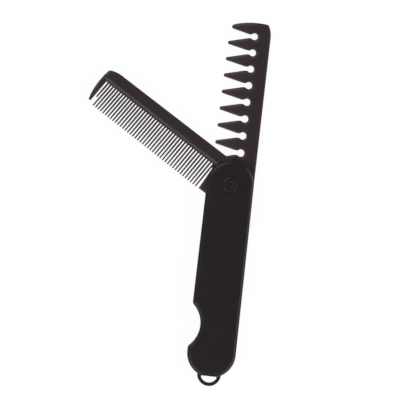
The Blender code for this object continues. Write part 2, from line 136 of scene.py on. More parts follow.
# Wide comb's outline.
WIDE_SPINE_X_LOW = 13.7 * MM
WIDE_SPINE_X_HIGH = 13.95 * MM
WIDE_FIRST_GAP_Y = 18.9 * MM
WIDE_PITCH_LOSS = 0.095 * MM
WIDE_HOLE_X = 4.0 * MM
WIDE_HOLE_X_STEP = 0.07 * MM
WIDE_HOLE_RADIUS_STEP = -0.025 * MM
WIDE_NECK_HALF = 1.33 * MM
WIDE_NECK_HALF_STEP = -0.03 * MM
WIDE_GAP_HALF = 1.42 * MM
WIDE_FLANK_SLOPE = 0.2375
WIDE_LEAN_STEP = 0.0028
WIDE_TIP_X = -11.4 * MM
WIDE_TIP_X_STEP = 0.148 * MM
WIDE_TOP_ARC_X = 5.6 * MM
WIDE_TOP_Y = 94.95 * MM
WIDE_TOP_ARC_RADIUS = 46.0 * MM
WIDE_TOP_ARC_TURN = (83.5, 106.0)
WIDE_BEND_RADIUS = 15.0 * MM
WIDE_BEND_Y = 87.0 * MM
WIDE_CORNER_RADIUS = 2.0 * MM
WIDE_CORNER_TURN = (25.9, 84.0)
WIDE_LAST_TIP = (-7.8 * MM, 91.47 * MM)
WIDE_LAST_TIP_RADIUS = 1.3 * MM
WIDE_LAST_TIP_START = 120.0
WIDE_BLOCK_TIP = (-10.6 * MM, 13.66 * MM)
WIDE_BLOCK_TIP_RADIUS = 0.9 * MM
WIDE_TANG_RADIUS = 12.2 * MM
WIDE_SHOULDER_Y = -2.0 * MM
WIDE_TAPER_X = 5.5 * MM
WIDE_TAPER_EASE = ((-1.5 * MM, 0.96), (1.0 * MM, 1.0))

# Fine comb's outline.
FINE_REST_DEGREES = 58.72
FINE_SPINE_X = 11.65 * MM
FINE_ROOT_X = 3.45 * MM
FINE_FIRST_Y = 15.11 * MM
FINE_PITCH_LOSS = 0.0025 * MM
FINE_FIRST_TIP_X = -13.2 * MM
FINE_LAST_TIP_X = -12.35 * MM
FINE_FIRST_LEAN = 0.033
FINE_LAST_LEAN = 0.060
FINE_SHORT_TIP_X = -7.2 * MM
FINE_BLOCK_ROOT = (1.9 * MM, 14.1 * MM)
FINE_BLOCK_TOP = (-12.8 * MM, 13.35 * MM)
FINE_BLOCK_LOW_Y = 4.5 * MM
FINE_TANG_RADIUS = 11.65 * MM
FINE_TANG_START = 190.0
FINE_TOP_ARC_X = 0.3 * MM
FINE_TOP_Y = 96.88 * MM
FINE_TOP_ARC_RADIUS = 43.0 * MM
FINE_TOP_ARC_TURN = (78.9, 101.5)
FINE_BEND_RADIUS = 17.3 * MM
FINE_BEND_Y = 88.0 * MM
FINE_CORNER_RADIUS = 2.15 * MM
FINE_CORNER_TURN = (23.2, 78.0)
FINE_GUARD_TIP = (-10.15 * MM, 94.68 * MM)
FINE_GUARD_TIP_RADIUS = 0.8 * MM
FINE_GUARD_TIP_TURN = (110.0, 260.0)
FINE_GUARD_INNER_Y = 93.22 * MM
FINE_GUARD_REACH = 0.5 * MM
FINE_GUARD_BLEND = 0.6 * MM
FINE_LEDGE_TOP_X = 5.7 * MM
FINE_LEDGE_FOOT_X = 4.15 * MM

# A fine tooth: its reach into the plate, its flared root, how much it has narrowed at shares of its length,
# its thickness against the ledge's, and the corners of its section.
TOOTH_INTO_PLATE = 0.9 * MM
TOOTH_FLARE = 0.85 * MM
TOOTH_FLARE_STEPS = 4
TOOTH_TAPER = ((0.35, 0.06), (0.6, 0.3), (0.82, 0.68))
TOOTH_BELOW_LEDGE = 0.985
TOOTH_CORNER_SHARE = 0.45
TOOTH_CORNER_STEPS = 2

# A fine tooth's tip: the steps drawn, those that a whole quarter turn would take, and the height at its end.
TOOTH_TIP_STEPS = 3
TOOTH_TIP_QUARTER = 3.4
TOOTH_TIP_HEIGHT = 0.35

# Directions of the softboxes about the comb, near the picture's diagonals, their heights in degrees above the
# floor and their shares of the power.
SOFTBOXES = ((15.0, 36.0, 0.75), (129.0, 50.0, 0.8), (232.0, 48.0, 0.95), (323.0, 38.0, 1.0))

# The floor lies just under the comb and reaches far past the picture.
FLOOR_HALF = 4.0
FLOOR_LEVEL = -0.05 * MM
FLOOR_ROUGHNESS = 0.9
CAMERA_CLIP = (0.01, 20.0)
WHITE = (1.0, 1.0, 1.0, 1.0)

# Colours against the plastic's own, channel by channel: the clouds', and the lighter tint painted along the
# edges and at the tooth tips as a sheen.
CLOUD_TINT = (1.9, 1.45, 1.5)
PAINTED_SHEEN_TINT = (2.5, 2.5, 2.5)

# Noises of the finish: repeats to a metre, detail and, where it isn't even, roughness.
GRAIN_WAVES = (90.0, 1.0)
CLOUDS = (130.0, 3.0)
SPECKS = (900.0, 2.0, 0.6)
# The noise that breaks up the edge band, which is polished smoother and lightened as a painted sheen.
POLISH_AND_SHEEN_BREAKS = (220.0, 2.0)
SMUDGES = (160.0, 3.0)
GRAIN_DETAIL = 2.0
GRAIN_WAVINESS = 1.5
CLOUD_START = 0.38
CLOUD_CONTRAST = 4.0
SMUDGE_ROUGHNESS = 0.12
# How fast the edge band, polished smoother and lightened as a painted sheen, fades inwards.
POLISH_AND_SHEEN_FALL = 2.0
PLASTIC_IOR = 1.46

# How finely outlines and faces are divided. The rows of the faces' even grid make equal triangles.
ARC_SPACING = 0.3 * MM
TIP_SPACING = ARC_SPACING / 2
LINE_SPACING = 0.6 * MM
FACE_SPACING = 1.3 * MM
ROW_SPACING = FACE_SPACING * math.sqrt(0.75)
FEWEST_ARC_STEPS = 4
ROUND_STEPS = 5
EDGE_STEP = 0.25 * MM
ROLL_SHARES = (0.2, 0.42, 0.7, 1.0)
LEDGE_SIDES = (-0.06 * MM, 0.06 * MM)
TURNED_STEPS = 72
EASE_STEPS = 6
EASE_HANDLE = 0.6
LIP_SEGMENTS = 3
RING_KEPT = 0.97
RING_THINNING = 0.45
CHUNK = 400

# The most that a trim takes of a line's last edge, and a rounded edge of a comb's half thickness.
TRIM_MOST = 0.9
ROUNDING_MOST = 0.6

# What counts as an edge, as one place, as on an edge, and as sharp.
SHORTEST_EDGE = 0.004 * MM
SAME_PLACE = 0.00001 * MM
ON_EDGE = 0.02 * MM
SHARP_DEGREES = 40.0
LIP_DEGREES = 60.0

# The triangulation keeps what lies inside the outlines, and its tolerance is in millimetres.
CDT_INSIDE = 1
CDT_TOLERANCE = 1e-6


def number_field(label, words, value, **more):
    """A number, with the unit or the limits that it is given."""
    return FloatProperty(name=label, description=words, default=value, **more)


def length_field(label, words, millimetres, decimals=2):
    """A size that the panel shows as a length."""
    more = {"min": 0.0, "subtype": "DISTANCE", "unit": "LENGTH", "precision": decimals}
    return number_field(label, words, millimetres * MM, **more)


def colour_field(label, words, value):
    """A colour that the panel shows as a swatch."""
    return FloatVectorProperty(
        name=label, description=words, default=value, min=0.0, max=1.0, size=3, subtype="COLOR"
    )


def share_field(label, words, value):
    """A share from nothing to all."""
    return number_field(label, words, value, min=0.0, max=1.0, subtype="FACTOR")


def count_field(label, words, value):
    """A count of what repeats, which has no room for more."""
    return IntProperty(name=label, description=words, default=value, min=2, max=value)


class CoverSettings(PropertyGroup):
    """Sizes of the two handle covers."""

    crown: length_field("Crown", "How much lower the faces lie at their long edges than between them", 0.15)
    edge_round: length_field("Edge Width", "Width of the rounded outer edges in the plan", 2.3)
    edge_drop: length_field("Edge Drop", "How far the face falls over the rounded edges", 1.25)
    seam_gap: length_field("Seam", "Width of the parting line between the covers", 0.08)
    lip_round: length_field("Lip Rounding", "Rounding of the edges along the slot", 0.2)
    loop_round: length_field("Loop Rounding", "Radius of the hanging loop's edges", 0.7)


class ButtonSettings(PropertyGroup):
    """Sizes of the pivot button."""

    rim_radius: length_field("Rim Radius", "Where the button's face starts to fall to its edge", 3.45)
    rim_drop: length_field("Rim Drop", "How far the button's edge lies below its face", 0.5)
    seat_gap: length_field("Seat Gap", "Width of the gap round the button", 0.07)
    seat_round: length_field("Seat Rounding", "Radius of the front cover's edge round the button", 0.5)
    dimple_radius: length_field("Dimple Radius", "Radius of the shallow dimple in the middle", 2.0)
    dimple_depth: length_field("Dimple Depth", "Depth of the dimple", 0.16)


class WideCombSettings(PropertyGroup):
    """Sizes of the wide comb."""

    gaps: count_field("Gaps", "Number of keyhole gaps between the teeth", 8)
    pitch: length_field("Pitch", "Distance between the first two gaps", 10.0)
    hole_radius: length_field("Hole Radius", "Radius of the round end of the first gap", 2.13)
    shoulder_reach: length_field("Shoulder Reach", "How far the rounding of a tooth's shoulders runs", 0.45)
    tip_share: share_field("Tip Thickness", "Share of the spine's thickness left at the tooth tips", 0.5)
    edge_round: length_field("Edge Rounding", "Radius of the edges", 0.22)
    roll_width: length_field("Roll Width", "Width of the band in which the faces fall to their edges", 2.4)
    roll_drop: length_field("Roll Drop", "How far the faces fall over that band", 0.36)


class FineCombSettings(PropertyGroup):
    """Sizes of the fine comb."""

    teeth: count_field("Teeth", "Number of full teeth", 42)
    pitch: length_field("Pitch", "Distance between the first two teeth", 1.882, 3)
    root_half: length_field("Root Half Width", "Half the width of a tooth near its root", 0.55)
    tip_half: length_field("Tip Half Width", "Half the width of a tooth at its tip", 0.42)
    ledge_share: share_field("Ledge Thickness", "Share of the spine's thickness left at the roots", 0.68)
    tip_share: share_field("Tip Thickness", "Share of the spine's thickness left at the tooth tips", 0.42)
    edge_round: length_field("Edge Rounding", "Radius of the edges", 0.22)
    roll_width: length_field("Roll Width", "Width of the band in which the faces fall to their edges", 2.1)
    roll_drop: length_field("Roll Drop", "How far the faces fall over that band", 0.3)


class FinishSettings(PropertyGroup):
    """Colours and surface of the moulded plastics."""

    cover_colour: colour_field("Covers", "Plastic of the covers and the button", (0.0172, 0.0128, 0.0119))
    comb_colour: colour_field("Combs", "Plastic of the two combs", (0.044, 0.0295, 0.0305))
    cover_roughness: share_field("Cover Roughness", "Roughness of the covers' satin face", 0.37)
    comb_roughness: share_field("Comb Roughness", "Roughness of the combs' satin face", 0.32)
    polish: share_field("Edge Polish", "How much smoother the handled edges are", 0.08)
    # Along the edges the plastic is polished smoother, and the edges and tooth tips are made lighter in
    # colour as a painted sheen.
    polish_and_sheen_width: length_field("Polish And Sheen Width", "Width of the worn band along the edges", 3.0)
    painted_edge_sheen: share_field("Painted Edge Sheen", "How much lighter the worn edges are", 0.3)
    painted_tip_sheen: share_field("Painted Tip Sheen", "How much lighter the combs are at the tips of their teeth", 0.4)
    mottle: share_field("Mottling", "Strength of the faint clouds in the plastic's colour", 0.22)
    grain_size: length_field("Grain Size", "Size of the fine moulded grain", 0.35)
    grain_depth: length_field("Grain Depth", "Depth of the fine moulded grain", 0.012, 3)


class StageSettings(PropertyGroup):
    """Floor, lights and camera."""

    floor_colour: colour_field("Floor", "Colour of the plain floor", (0.1, 0.1, 0.1))
    floor_glow: number_field("Floor Glow", "Brightness of the light table under the comb", 0.945)
    backdrop: number_field("Backdrop", "Brightness of the backdrop behind the floor", 1.0)
    overhead: number_field("Overhead", "Brightness of the dim light from all round", 0.115)
    softbox_power: number_field("Softbox Power", "Full power of a softbox", 3.8, unit="POWER")
    softbox_size: length_field("Softbox Size", "Side of each square softbox", 800.0)
    softbox_reach: length_field("Softbox Distance", "Distance of each softbox from the comb's middle", 1300.0)
    lens: number_field("Lens", "Focal length in millimetres", 200.0, unit="CAMERA")
    picture_width: length_field("Picture Width", "Width of the picture at the comb's mid height", 232.0)
    picture_centre_x: number_field("Picture X", "Where the camera looks, across", -16.43 * MM, unit="LENGTH")
    picture_centre_y: number_field("Picture Y", "Where the camera looks, along", -10.8 * MM, unit="LENGTH")
    picture_turn: number_field(
        "Picture Turn", "Turn of the camera about its line of sight", math.radians(6.37), subtype="ANGLE"
    )


def arc(centre, radius, start, end, spacing=ARC_SPACING):
    """Points of an arc between two angles in degrees, no further apart than the spacing."""
    steps = max(FEWEST_ARC_STEPS, math.ceil(abs(math.radians(end - start)) * radius / spacing))
    angles = np.radians(np.linspace(start, end, steps + 1))
    return np.column_stack((centre[0] + radius * np.cos(angles), centre[1] + radius * np.sin(angles)))


def line(*points):
    """A line through points."""
    return np.array(points, float)


def trim(points, reach):
    """A line shortened by a reach at its end, and the direction in which it then ends."""
    lengths = np.linalg.norm(np.diff(points, axis=0), axis=1)
    last = len(points) - 1
    while last > 1 and lengths[last - 1] <= reach:
        reach -= lengths[last - 1]
        last -= 1
    direction = (points[last] - points[last - 1]) / lengths[last - 1]
    end = points[last] - direction * min(reach, lengths[last - 1] * TRIM_MOST)
    return np.vstack((points[:last], end)), direction


def ease(before, after, reach):
    """Join two lines that meet at a corner, with a smooth curve over a reach on both sides of it."""
    first, leaving = trim(before, reach)
    backwards, entering = trim(after[::-1], reach)
    last = backwards[::-1]
    share = np.linspace(0.0, 1.0, EASE_STEPS + 1)[1:-1, None]
    start = first[-1]
    end = last[0]
    start_handle = start + leaving * reach * EASE_HANDLE
    end_handle = end + entering * reach * EASE_HANDLE
    curve = (1 - share) ** 3 * start + 3 * (1 - share) ** 2 * share * start_handle
    curve = curve + 3 * (1 - share) * share ** 2 * end_handle + share ** 3 * end
    return np.vstack((first, curve, last))


def closed(*lines):
    """One closed outline from lines in order, its points evenly close and none of them doubled."""
    points = np.vstack(lines)
    divided = []
    for here, there in zip(points, np.roll(points, -1, axis=0)):
        length = np.linalg.norm(there - here)
        if length > SHORTEST_EDGE:
            steps = math.ceil(length / LINE_SPACING)
            divided.append(here + (there - here) * np.arange(steps)[:, None] / steps)
    return np.vstack(divided)


def edges_of(loops):
    """Start and end of each edge of closed loops."""
    starts = np.vstack(loops)
    ends = np.vstack([np.roll(loop, -1, axis=0) for loop in loops])
    return starts, ends


def edge_distance(points, loops):
    """Distance of each point to the nearest edge of the loops."""
    starts, ends = edges_of(loops)
    along = ends - starts
    squared = (along ** 2).sum(axis=1)
    nearest = []
    for first in range(0, len(points), CHUNK):
        offset = points[first:first + CHUNK, None, :] - starts
        share = np.clip((offset * along).sum(axis=2) / squared, 0.0, 1.0)
        gap = offset - share[..., None] * along
        nearest.append(np.sqrt((gap ** 2).sum(axis=2).min(axis=1)))
    return np.concatenate(nearest)


def is_inside(points, loops):
    """Whether each point lies in the material, by counting the edges that a ray crosses."""
    starts, ends = edges_of(loops)
    rise = ends[:, 1] - starts[:, 1]
    rise[rise == 0.0] = np.finfo(float).tiny
    found = []
    for first in range(0, len(points), CHUNK):
        part = points[first:first + CHUNK]
        spans = (starts[:, 1] > part[:, 1, None]) != (ends[:, 1] > part[:, 1, None])
        share = (part[:, 1, None] - starts[:, 1]) / rise
        crossing = starts[:, 0] + share * (ends[:, 0] - starts[:, 0])
        found.append(((part[:, 0, None] < crossing) & spans).sum(axis=1) % 2 == 1)
    return np.concatenate(found)


def inward_normals(loop):
    """The direction into the material at each point of a loop, whose material lies on its left."""
    along = np.roll(loop, -1, axis=0) - np.roll(loop, 1, axis=0)
    normals = np.column_stack((-along[:, 1], along[:, 0]))
    return normals / np.linalg.norm(normals, axis=1)[:, None]


def thin_out(points, spacing):
    """Points with at most one left in each cell of a grid."""
    cells = np.floor(points / spacing).astype(int)
    _, kept = np.unique(cells, axis=0, return_index=True)
    return points[np.sort(kept)]


def face_points(loops, depths):
    """Points inside the loops: rings that follow the edges at the depths, and an even grid further in."""
    layers = []
    for depth in depths:
        moved = np.vstack([loop + inward_normals(loop) * depth for loop in loops])
        kept = is_inside(moved, loops) & (edge_distance(moved, loops) > depth * RING_KEPT)
        layers.append(thin_out(moved[kept], max(depth * RING_THINNING, TIP_SPACING)))
    low = loops[0].min(axis=0)
    high = loops[0].max(axis=0)
    rows = np.arange(low[1], high[1], ROW_SPACING)
    grid = []
    for number, row in enumerate(rows):
        across = np.arange(low[0] + FACE_SPACING / 2 * (number % 2), high[0], FACE_SPACING)
        grid.append(np.column_stack((across, np.full(len(across), row))))
    grid = np.vstack(grid)
    grid = grid[is_inside(grid, loops)]
    grid = grid[edge_distance(grid, loops) > depths[-1] + FACE_SPACING / 2]
    return np.vstack(layers + [grid])


def plate(name, loops, depths, low_face, high_face):
    """A closed plate with shaped faces. A face is a function of places and of their distances to the edge."""
    rim = np.vstack(loops)
    places = np.vstack([rim, face_points(loops, depths)])
    edges = []
    start = 0
    for loop in loops:
        count = len(loop)
        edges += [(start + step, start + (step + 1) % count) for step in range(count)]
        start += count
    coordinates = [Vector(place) for place in places / MM]
    divided = delaunay_2d_cdt(coordinates, edges, [], CDT_INSIDE, CDT_TOLERANCE)
    made, _, triangles, origins, _, _ = divided
    made = np.array([tuple(point) for point in made]) * MM
    for number, sources in enumerate(origins):
        if sources:
            made[number] = places[sources[0]]
    where = {source: number for number, sources in enumerate(origins) for source in sources}
    corners = np.array(triangles)
    in_hole = np.zeros(len(corners), bool)
    start = len(loops[0])
    for loop in loops[1:]:
        around = [where[number] for number in range(start, start + len(loop))]
        in_hole |= np.isin(corners, around).all(axis=1)
        start += len(loop)
    corners = corners[~in_hole]
    depth = edge_distance(made, loops)
    depth[[where[number] for number in range(len(rim))]] = 0.0
    count = len(made)
    low = np.column_stack((made, low_face(made, depth)))
    high = np.column_stack((made, high_face(made, depth)))
    first, second, third = (made[corners[:, corner]] for corner in range(3))
    turn = np.cross(second - first, third - first)
    corners[turn < 0] = corners[turn < 0][:, ::-1]
    faces = [tuple(face + count) for face in corners]
    faces += [tuple(face[::-1]) for face in corners]
    for start, end in edges:
        here = where[start]
        there = where[end]
        faces.append((here, there, there + count, here + count))
    mesh = bpy.data.meshes.new(name)
    mesh.from_pydata(np.vstack((low, high)).tolist(), [], faces)
    mesh.validate()
    return add_object(name, mesh)


def add_object(name, data):
    """An object for a mesh, a light or a camera, linked to the scene."""
    thing = bpy.data.objects.new(name, data)
    bpy.context.scene.collection.objects.link(thing)
    return thing


def prism(name, outline, low, high):
    """A plain upright solid of one outline."""
    count = len(outline)
    levels = np.vstack([np.column_stack((outline, np.full(count, level))) for level in (low, high)])
    faces = [tuple(reversed(range(count))), tuple(range(count, 2 * count))]
    for step in range(count):
        following = (step + 1) % count
        faces.append((step, following, following + count, step + count))
    mesh = bpy.data.meshes.new(name)
    mesh.from_pydata(levels.tolist(), [], faces)
    return add_object(name, mesh)


def cylinder(name, radius, low, high):
    """A round solid on the pivot axis."""
    spacing = math.tau * radius / TURNED_STEPS
    return prism(name, arc((0.0, 0.0), radius, 0.0, 360.0, spacing)[:-1], low, high)


def keep_mesh(name, mesh):
    """The finished mesh data of a mesh in the making, which is freed."""
    data = bpy.data.meshes.new(name)
    mesh.to_mesh(data)
    mesh.free()
    return data


def turned(name, profile):
    """A solid turned about the pivot axis from pairs of radius and height, top middle to bottom middle."""
    mesh = bmesh.new()
    rings = []
    for radius, height in profile[1:-1]:
        angles = [math.tau * step / TURNED_STEPS for step in range(TURNED_STEPS)]
        rings.append([mesh.verts.new((radius * math.cos(a), radius * math.sin(a), height)) for a in angles])
    top = mesh.verts.new((0.0, 0.0, profile[0][1]))
    bottom = mesh.verts.new((0.0, 0.0, profile[-1][1]))
    for step in range(TURNED_STEPS):
        following = (step + 1) % TURNED_STEPS
        mesh.faces.new((top, rings[0][step], rings[0][following]))
        mesh.faces.new((bottom, rings[-1][following], rings[-1][step]))
        for upper, lower in zip(rings, rings[1:]):
            mesh.faces.new((upper[step], lower[step], lower[following], upper[following]))
    return add_object(name, keep_mesh(name, mesh))


def settle(thing):
    """Make the result of a thing's modifiers its own mesh, and remove them."""
    bpy.context.view_layer.update()
    graph = bpy.context.evaluated_depsgraph_get()
    result = bpy.data.meshes.new_from_object(thing.evaluated_get(graph))
    former = thing.data
    thing.modifiers.clear()
    thing.data = result
    bpy.data.meshes.remove(former)
    result.name = thing.name


def combine(thing, tool, operation="DIFFERENCE"):
    """Cut a thing with a tool solid, or unite it with one, and remove the tool."""
    step = thing.modifiers.new(tool.name, "BOOLEAN")
    step.object = tool
    step.operation = operation
    step.solver = "EXACT"
    settle(thing)
    spent = tool.data
    bpy.data.objects.remove(tool)
    bpy.data.meshes.remove(spent)


def round_lip(thing, wanted, width):
    """Round the sharp edges of a thing for which a test of both end points holds."""
    mesh = bmesh.new()
    mesh.from_mesh(thing.data)
    bmesh.ops.remove_doubles(mesh, verts=mesh.verts, dist=SAME_PLACE)
    edges = [
        edge for edge in mesh.edges
        if len(edge.link_faces) == 2 and edge.calc_face_angle() > math.radians(LIP_DEGREES)
        and wanted(edge.verts[0].co) and wanted(edge.verts[1].co)
    ]
    bmesh.ops.bevel(
        mesh, geom=edges, offset=width, segments=LIP_SEGMENTS, profile=0.5, affect="EDGES", clamp_overlap=True
    )
    mesh.to_mesh(thing.data)
    mesh.free()


def mark(thing, label, values):
    """Store a number at each point of a thing, for the finish to follow."""
    layer = thing.data.attributes.new(label, "FLOAT", "POINT")
    layer.data.foreach_set("value", values.astype(np.float32))


def mark_edges(thing, loops):
    """Mark how far each point lies from the plan's edge."""
    places = np.array([vertex.co[:2] for vertex in thing.data.vertices])
    mark(thing, "rim", edge_distance(places, loops))


def mark_tips(thing, spine_x, tip_x):
    """Mark how far each point lies along the teeth: nothing at the spine, one at the tips."""
    across = np.array([vertex.co.x for vertex in thing.data.vertices])
    mark(thing, "tips", np.clip((across - spine_x) / (tip_x - spine_x), 0.0, 1.0))


def finish_piece(thing, material, body, node):
    """Shade a piece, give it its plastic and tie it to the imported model."""
    data = thing.data
    data.materials.clear()
    data.materials.append(material)
    data.shade_smooth()
    data.set_sharp_from_angle(angle=math.radians(SHARP_DEGREES))
    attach(thing, body)
    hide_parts(node)


def round_depths(radius, *further):
    """Depths of the rings that shape a quarter round, then further ones."""
    steps = max(ROUND_STEPS, math.ceil(radius / EDGE_STEP))
    angles = np.linspace(0.0, math.pi / 2, steps + 1)[1:]
    return list(radius * (1 - np.cos(angles))) + list(further)


def roll_depths(settings):
    """Depths of the rings that shape a face rolling off to its rounded edge."""
    spread = settings.roll_width - settings.edge_round
    return round_depths(settings.edge_round, *(settings.edge_round + spread * share for share in ROLL_SHARES))


def round_drop(depth, radius):
    """How far a quarter-round edge has fallen at each depth."""
    share = np.clip(1 - depth / radius, 0.0, 1.0)
    return 1 - np.sqrt(1 - share ** 2)


def roll_fall(depth, width):
    """The share of a face's fall towards its edge at each depth: none at the width, all at the edge."""
    return np.clip(1 - depth / width, 0.0, 1.0) ** 2


def share_along(across, stations):
    """Share of the thickness at each place across a comb, from stations that run from tips to spine."""
    places = np.array([place for place, _ in stations])
    shares = np.array([share for _, share in stations])
    return np.interp(across, places, shares)


def cover_outline():
    """Outline of both covers: head, notched left side, foot with its flat, right side."""
    left_at_notch = HEAD_RADIUS + (FOOT_RADIUS - HEAD_RADIUS) * NOTCH_CENTRE_Y / FOOT_CENTRE_Y
    spread = math.degrees(math.acos((-left_at_notch - NOTCH_CENTRE_X) / NOTCH_RADIUS))
    notch = arc((NOTCH_CENTRE_X, NOTCH_CENTRE_Y), NOTCH_RADIUS, spread, -spread)
    flat_angle = math.degrees(math.asin((FOOT_FLAT_Y - FOOT_CENTRE_Y) / FOOT_RADIUS))
    foot_left = arc((0.0, FOOT_CENTRE_Y), FOOT_RADIUS, 180.0, 180.0 - flat_angle)
    foot_right = arc((0.0, FOOT_CENTRE_Y), FOOT_RADIUS, 360.0 + flat_angle, 360.0)
    head = arc((0.0, 0.0), HEAD_RADIUS, 0.0, 180.0)
    upper_left = line((-HEAD_RADIUS, 0.0), notch[0])
    lower_left = line(notch[-1], (-FOOT_RADIUS, FOOT_CENTRE_Y))
    left = ease(ease(upper_left, notch, NOTCH_CORNER_REACH), lower_left, NOTCH_CORNER_REACH)
    flat = line(foot_left[-1], foot_right[0])
    foot = ease(ease(foot_left, flat, FLAT_CORNER_REACH), foot_right, FLAT_CORNER_REACH)
    return closed(head, left, foot)


def hollow_outline():
    """Outline of the room between the plates: open at the head and down the left side."""
    beyond = HEAD_RADIUS + FOOT_RADIUS
    return np.vstack((
        line((beyond, WALL_TOP_Y), (beyond, beyond), (-beyond, beyond), (-beyond, WALL_END_Y)),
        line((-WALL_FOOT_RADIUS, WALL_END_Y)),
        arc((0.0, FOOT_CENTRE_Y), WALL_FOOT_RADIUS, 180.0, 360.0, LINE_SPACING),
        line((WALL_FULL_INNER_X, WALL_FULL_Y), (WALL_TOP_INNER_X, WALL_NARROW_Y)),
        line((WALL_TOP_INNER_X, WALL_TOP_Y)),
    ))


def loop_outlines():
    """Outlines of the hanging loop: its outside, closed off inside the foot, and its D-shaped hole."""
    outer = arc((0.0, LOOP_CENTRE_Y), LOOP_OUTER_RADIUS, 180.0, 360.0)
    outside = closed(outer, line((LOOP_OUTER_RADIUS, LOOP_ROOT_Y), (-LOOP_OUTER_RADIUS, LOOP_ROOT_Y)))
    hole_top = FOOT_FLAT_Y + LOOP_HOLE_INTO_FOOT
    inner_turn = math.degrees(math.asin((hole_top - LOOP_CENTRE_Y) / LOOP_INNER_RADIUS))
    inner = arc((0.0, LOOP_CENTRE_Y), LOOP_INNER_RADIUS, 360.0 + inner_turn, 180.0 - inner_turn)
    right = ease(line((0.0, hole_top), inner[0]), inner, LOOP_CORNER_REACH)
    hole = closed(ease(right, line(inner[-1], (0.0, hole_top)), LOOP_CORNER_REACH))
    return [outside, hole]


def inside_slot(point):
    """Whether a point lies on the edge of a plate that the slot or the head leaves free."""
    free_left = point.x < -WALL_FOOT_RADIUS / 2 and point.y > WALL_END_Y + NOTCH_CORNER_REACH
    return free_left or point.y > WALL_TOP_Y + NOTCH_CORNER_REACH


def make_covers(settings, seat, material):
    """Both handle covers: rounded shells with a crowned face, the boss, the loop and the button's seat."""
    outline = cover_outline()
    radius = settings.edge_round
    half_seam = settings.seam_gap / 2
    depths = round_depths(radius)

    def fall(places, depth):
        across = np.clip(places[:, 0] / WALL_FULL_INNER_X, -CROWN_MOST, CROWN_MOST)
        return settings.crown * across ** 2 + settings.edge_drop * round_drop(depth, radius)

    def front(places, depth):
        return FRONT_FACE - fall(places, depth)

    def front_seam(places, depth):
        return SEAM_MIDDLE + half_seam + np.clip(SEAM_CHAMFER - depth, 0.0, None)

    def back_seam(places, depth):
        return SEAM_MIDDLE - half_seam - np.clip(SEAM_CHAMFER - depth, 0.0, None)

    front_cover = plate("front_cover", [outline], depths, front_seam, front)
    room = prism("front_room", hollow_outline(), FINE_LOW - CUT_PAST, FRONT_PLATE_LOW)
    combine(front_cover, room)
    combine(front_cover, cylinder("boss_hole", BORE_RADIUS, FINE_HIGH, FRONT_FACE + CUT_PAST))
    seat_radius = BUTTON_RADIUS + seat.seat_gap
    combine(front_cover, cylinder("button_seat", seat_radius, BOSS_TOP, FRONT_FACE + CUT_PAST))
    back_cover = plate("back_cover", [outline], depths, fall, back_seam)
    combine(back_cover, prism("back_room", hollow_outline(), PLATE, WIDE_HIGH + CUT_PAST))
    combine(back_cover, cylinder("boss", BOSS_RADIUS, PLATE / 2, BOSS_TOP), "UNION")
    combine(back_cover, make_loop(settings.loop_round), "UNION")
    combine(back_cover, cylinder("socket", SOCKET_RADIUS, SOCKET_BOTTOM, BOSS_TOP + CUT_PAST))
    for cover, level in ((front_cover, FRONT_PLATE_LOW), (back_cover, PLATE)):
        def on_lip(point, level=level):
            outer = edge_distance(np.array([point[:2]]), [outline])[0] < ON_EDGE
            return abs(point.z - level) < ON_EDGE and outer and inside_slot(point)

        round_lip(cover, on_lip, settings.lip_round)

    def on_seat(point):
        return abs(math.hypot(point.x, point.y) - seat_radius) < ON_EDGE and point.z > BUTTON_LOW

    round_lip(front_cover, on_seat, seat.seat_round)
    for cover, node in ((front_cover, "front_shell"), (back_cover, "back_shell")):
        mark_edges(cover, [outline])
        finish_piece(cover, material, "handle", node)


def make_loop(radius):
    """The hanging loop, a ring with a rounded section."""

    def low(places, depth):
        return LOOP_LOW + radius * round_drop(depth, radius)

    def high(places, depth):
        return LOOP_HIGH - radius * round_drop(depth, radius)

    return plate("hanging_loop", loop_outlines(), round_depths(radius), low, high)


def make_button(settings, material):
    """The pivot button: a turned disc with a rounded rim and a shallow dimple, on its shank."""
    rim = settings.rim_radius
    rounding = BUTTON_RADIUS - rim
    profile = [
        (settings.dimple_radius * across, FRONT_FACE - settings.dimple_depth * down)
        for across, down in DIMPLE_PROFILE
    ]
    profile.append((rim * RIM_FLAT, FRONT_FACE))
    for step in range(ROUND_STEPS + 1):
        angle = math.pi / 2 * step / ROUND_STEPS
        fall = settings.rim_drop * (1 - math.cos(angle))
        profile.append((rim + rounding * math.sin(angle), FRONT_FACE - fall))
    profile += [(BUTTON_RADIUS, BUTTON_LOW), (SHANK_RADIUS, BUTTON_LOW), (SHANK_RADIUS, SHANK_BOTTOM)]
    profile += [(0.0, SHANK_BOTTOM)]
    button = turned("pivot_button", profile)
    mark_edges(button, [arc((0.0, 0.0), BUTTON_RADIUS, 0.0, 360.0)[:-1]])
    finish_piece(button, material, "handle", "pivot_cap")


def end_corner(spine_x, bend_y, bend_radius, corner_radius, corner_turn):
    """The corner between a comb's spine and its end: a gentle bend of the spine, then a tighter round."""
    start, end = corner_turn
    centre = np.array((spine_x - bend_radius, bend_y))
    onward = np.array((math.cos(math.radians(start)), math.sin(math.radians(start))))
    corner_centre = centre + onward * (bend_radius - corner_radius)
    bend = arc(centre, bend_radius, 0.0, start)
    return np.vstack((bend, arc(corner_centre, corner_radius, start, end)[1:]))


def wide_gap_y(settings, number):
    """Height of the middle of one keyhole gap: the pitch shrinks a little from each gap to the next."""
    return WIDE_FIRST_GAP_Y + settings.pitch * number - WIDE_PITCH_LOSS * number * (number - 1) / 2


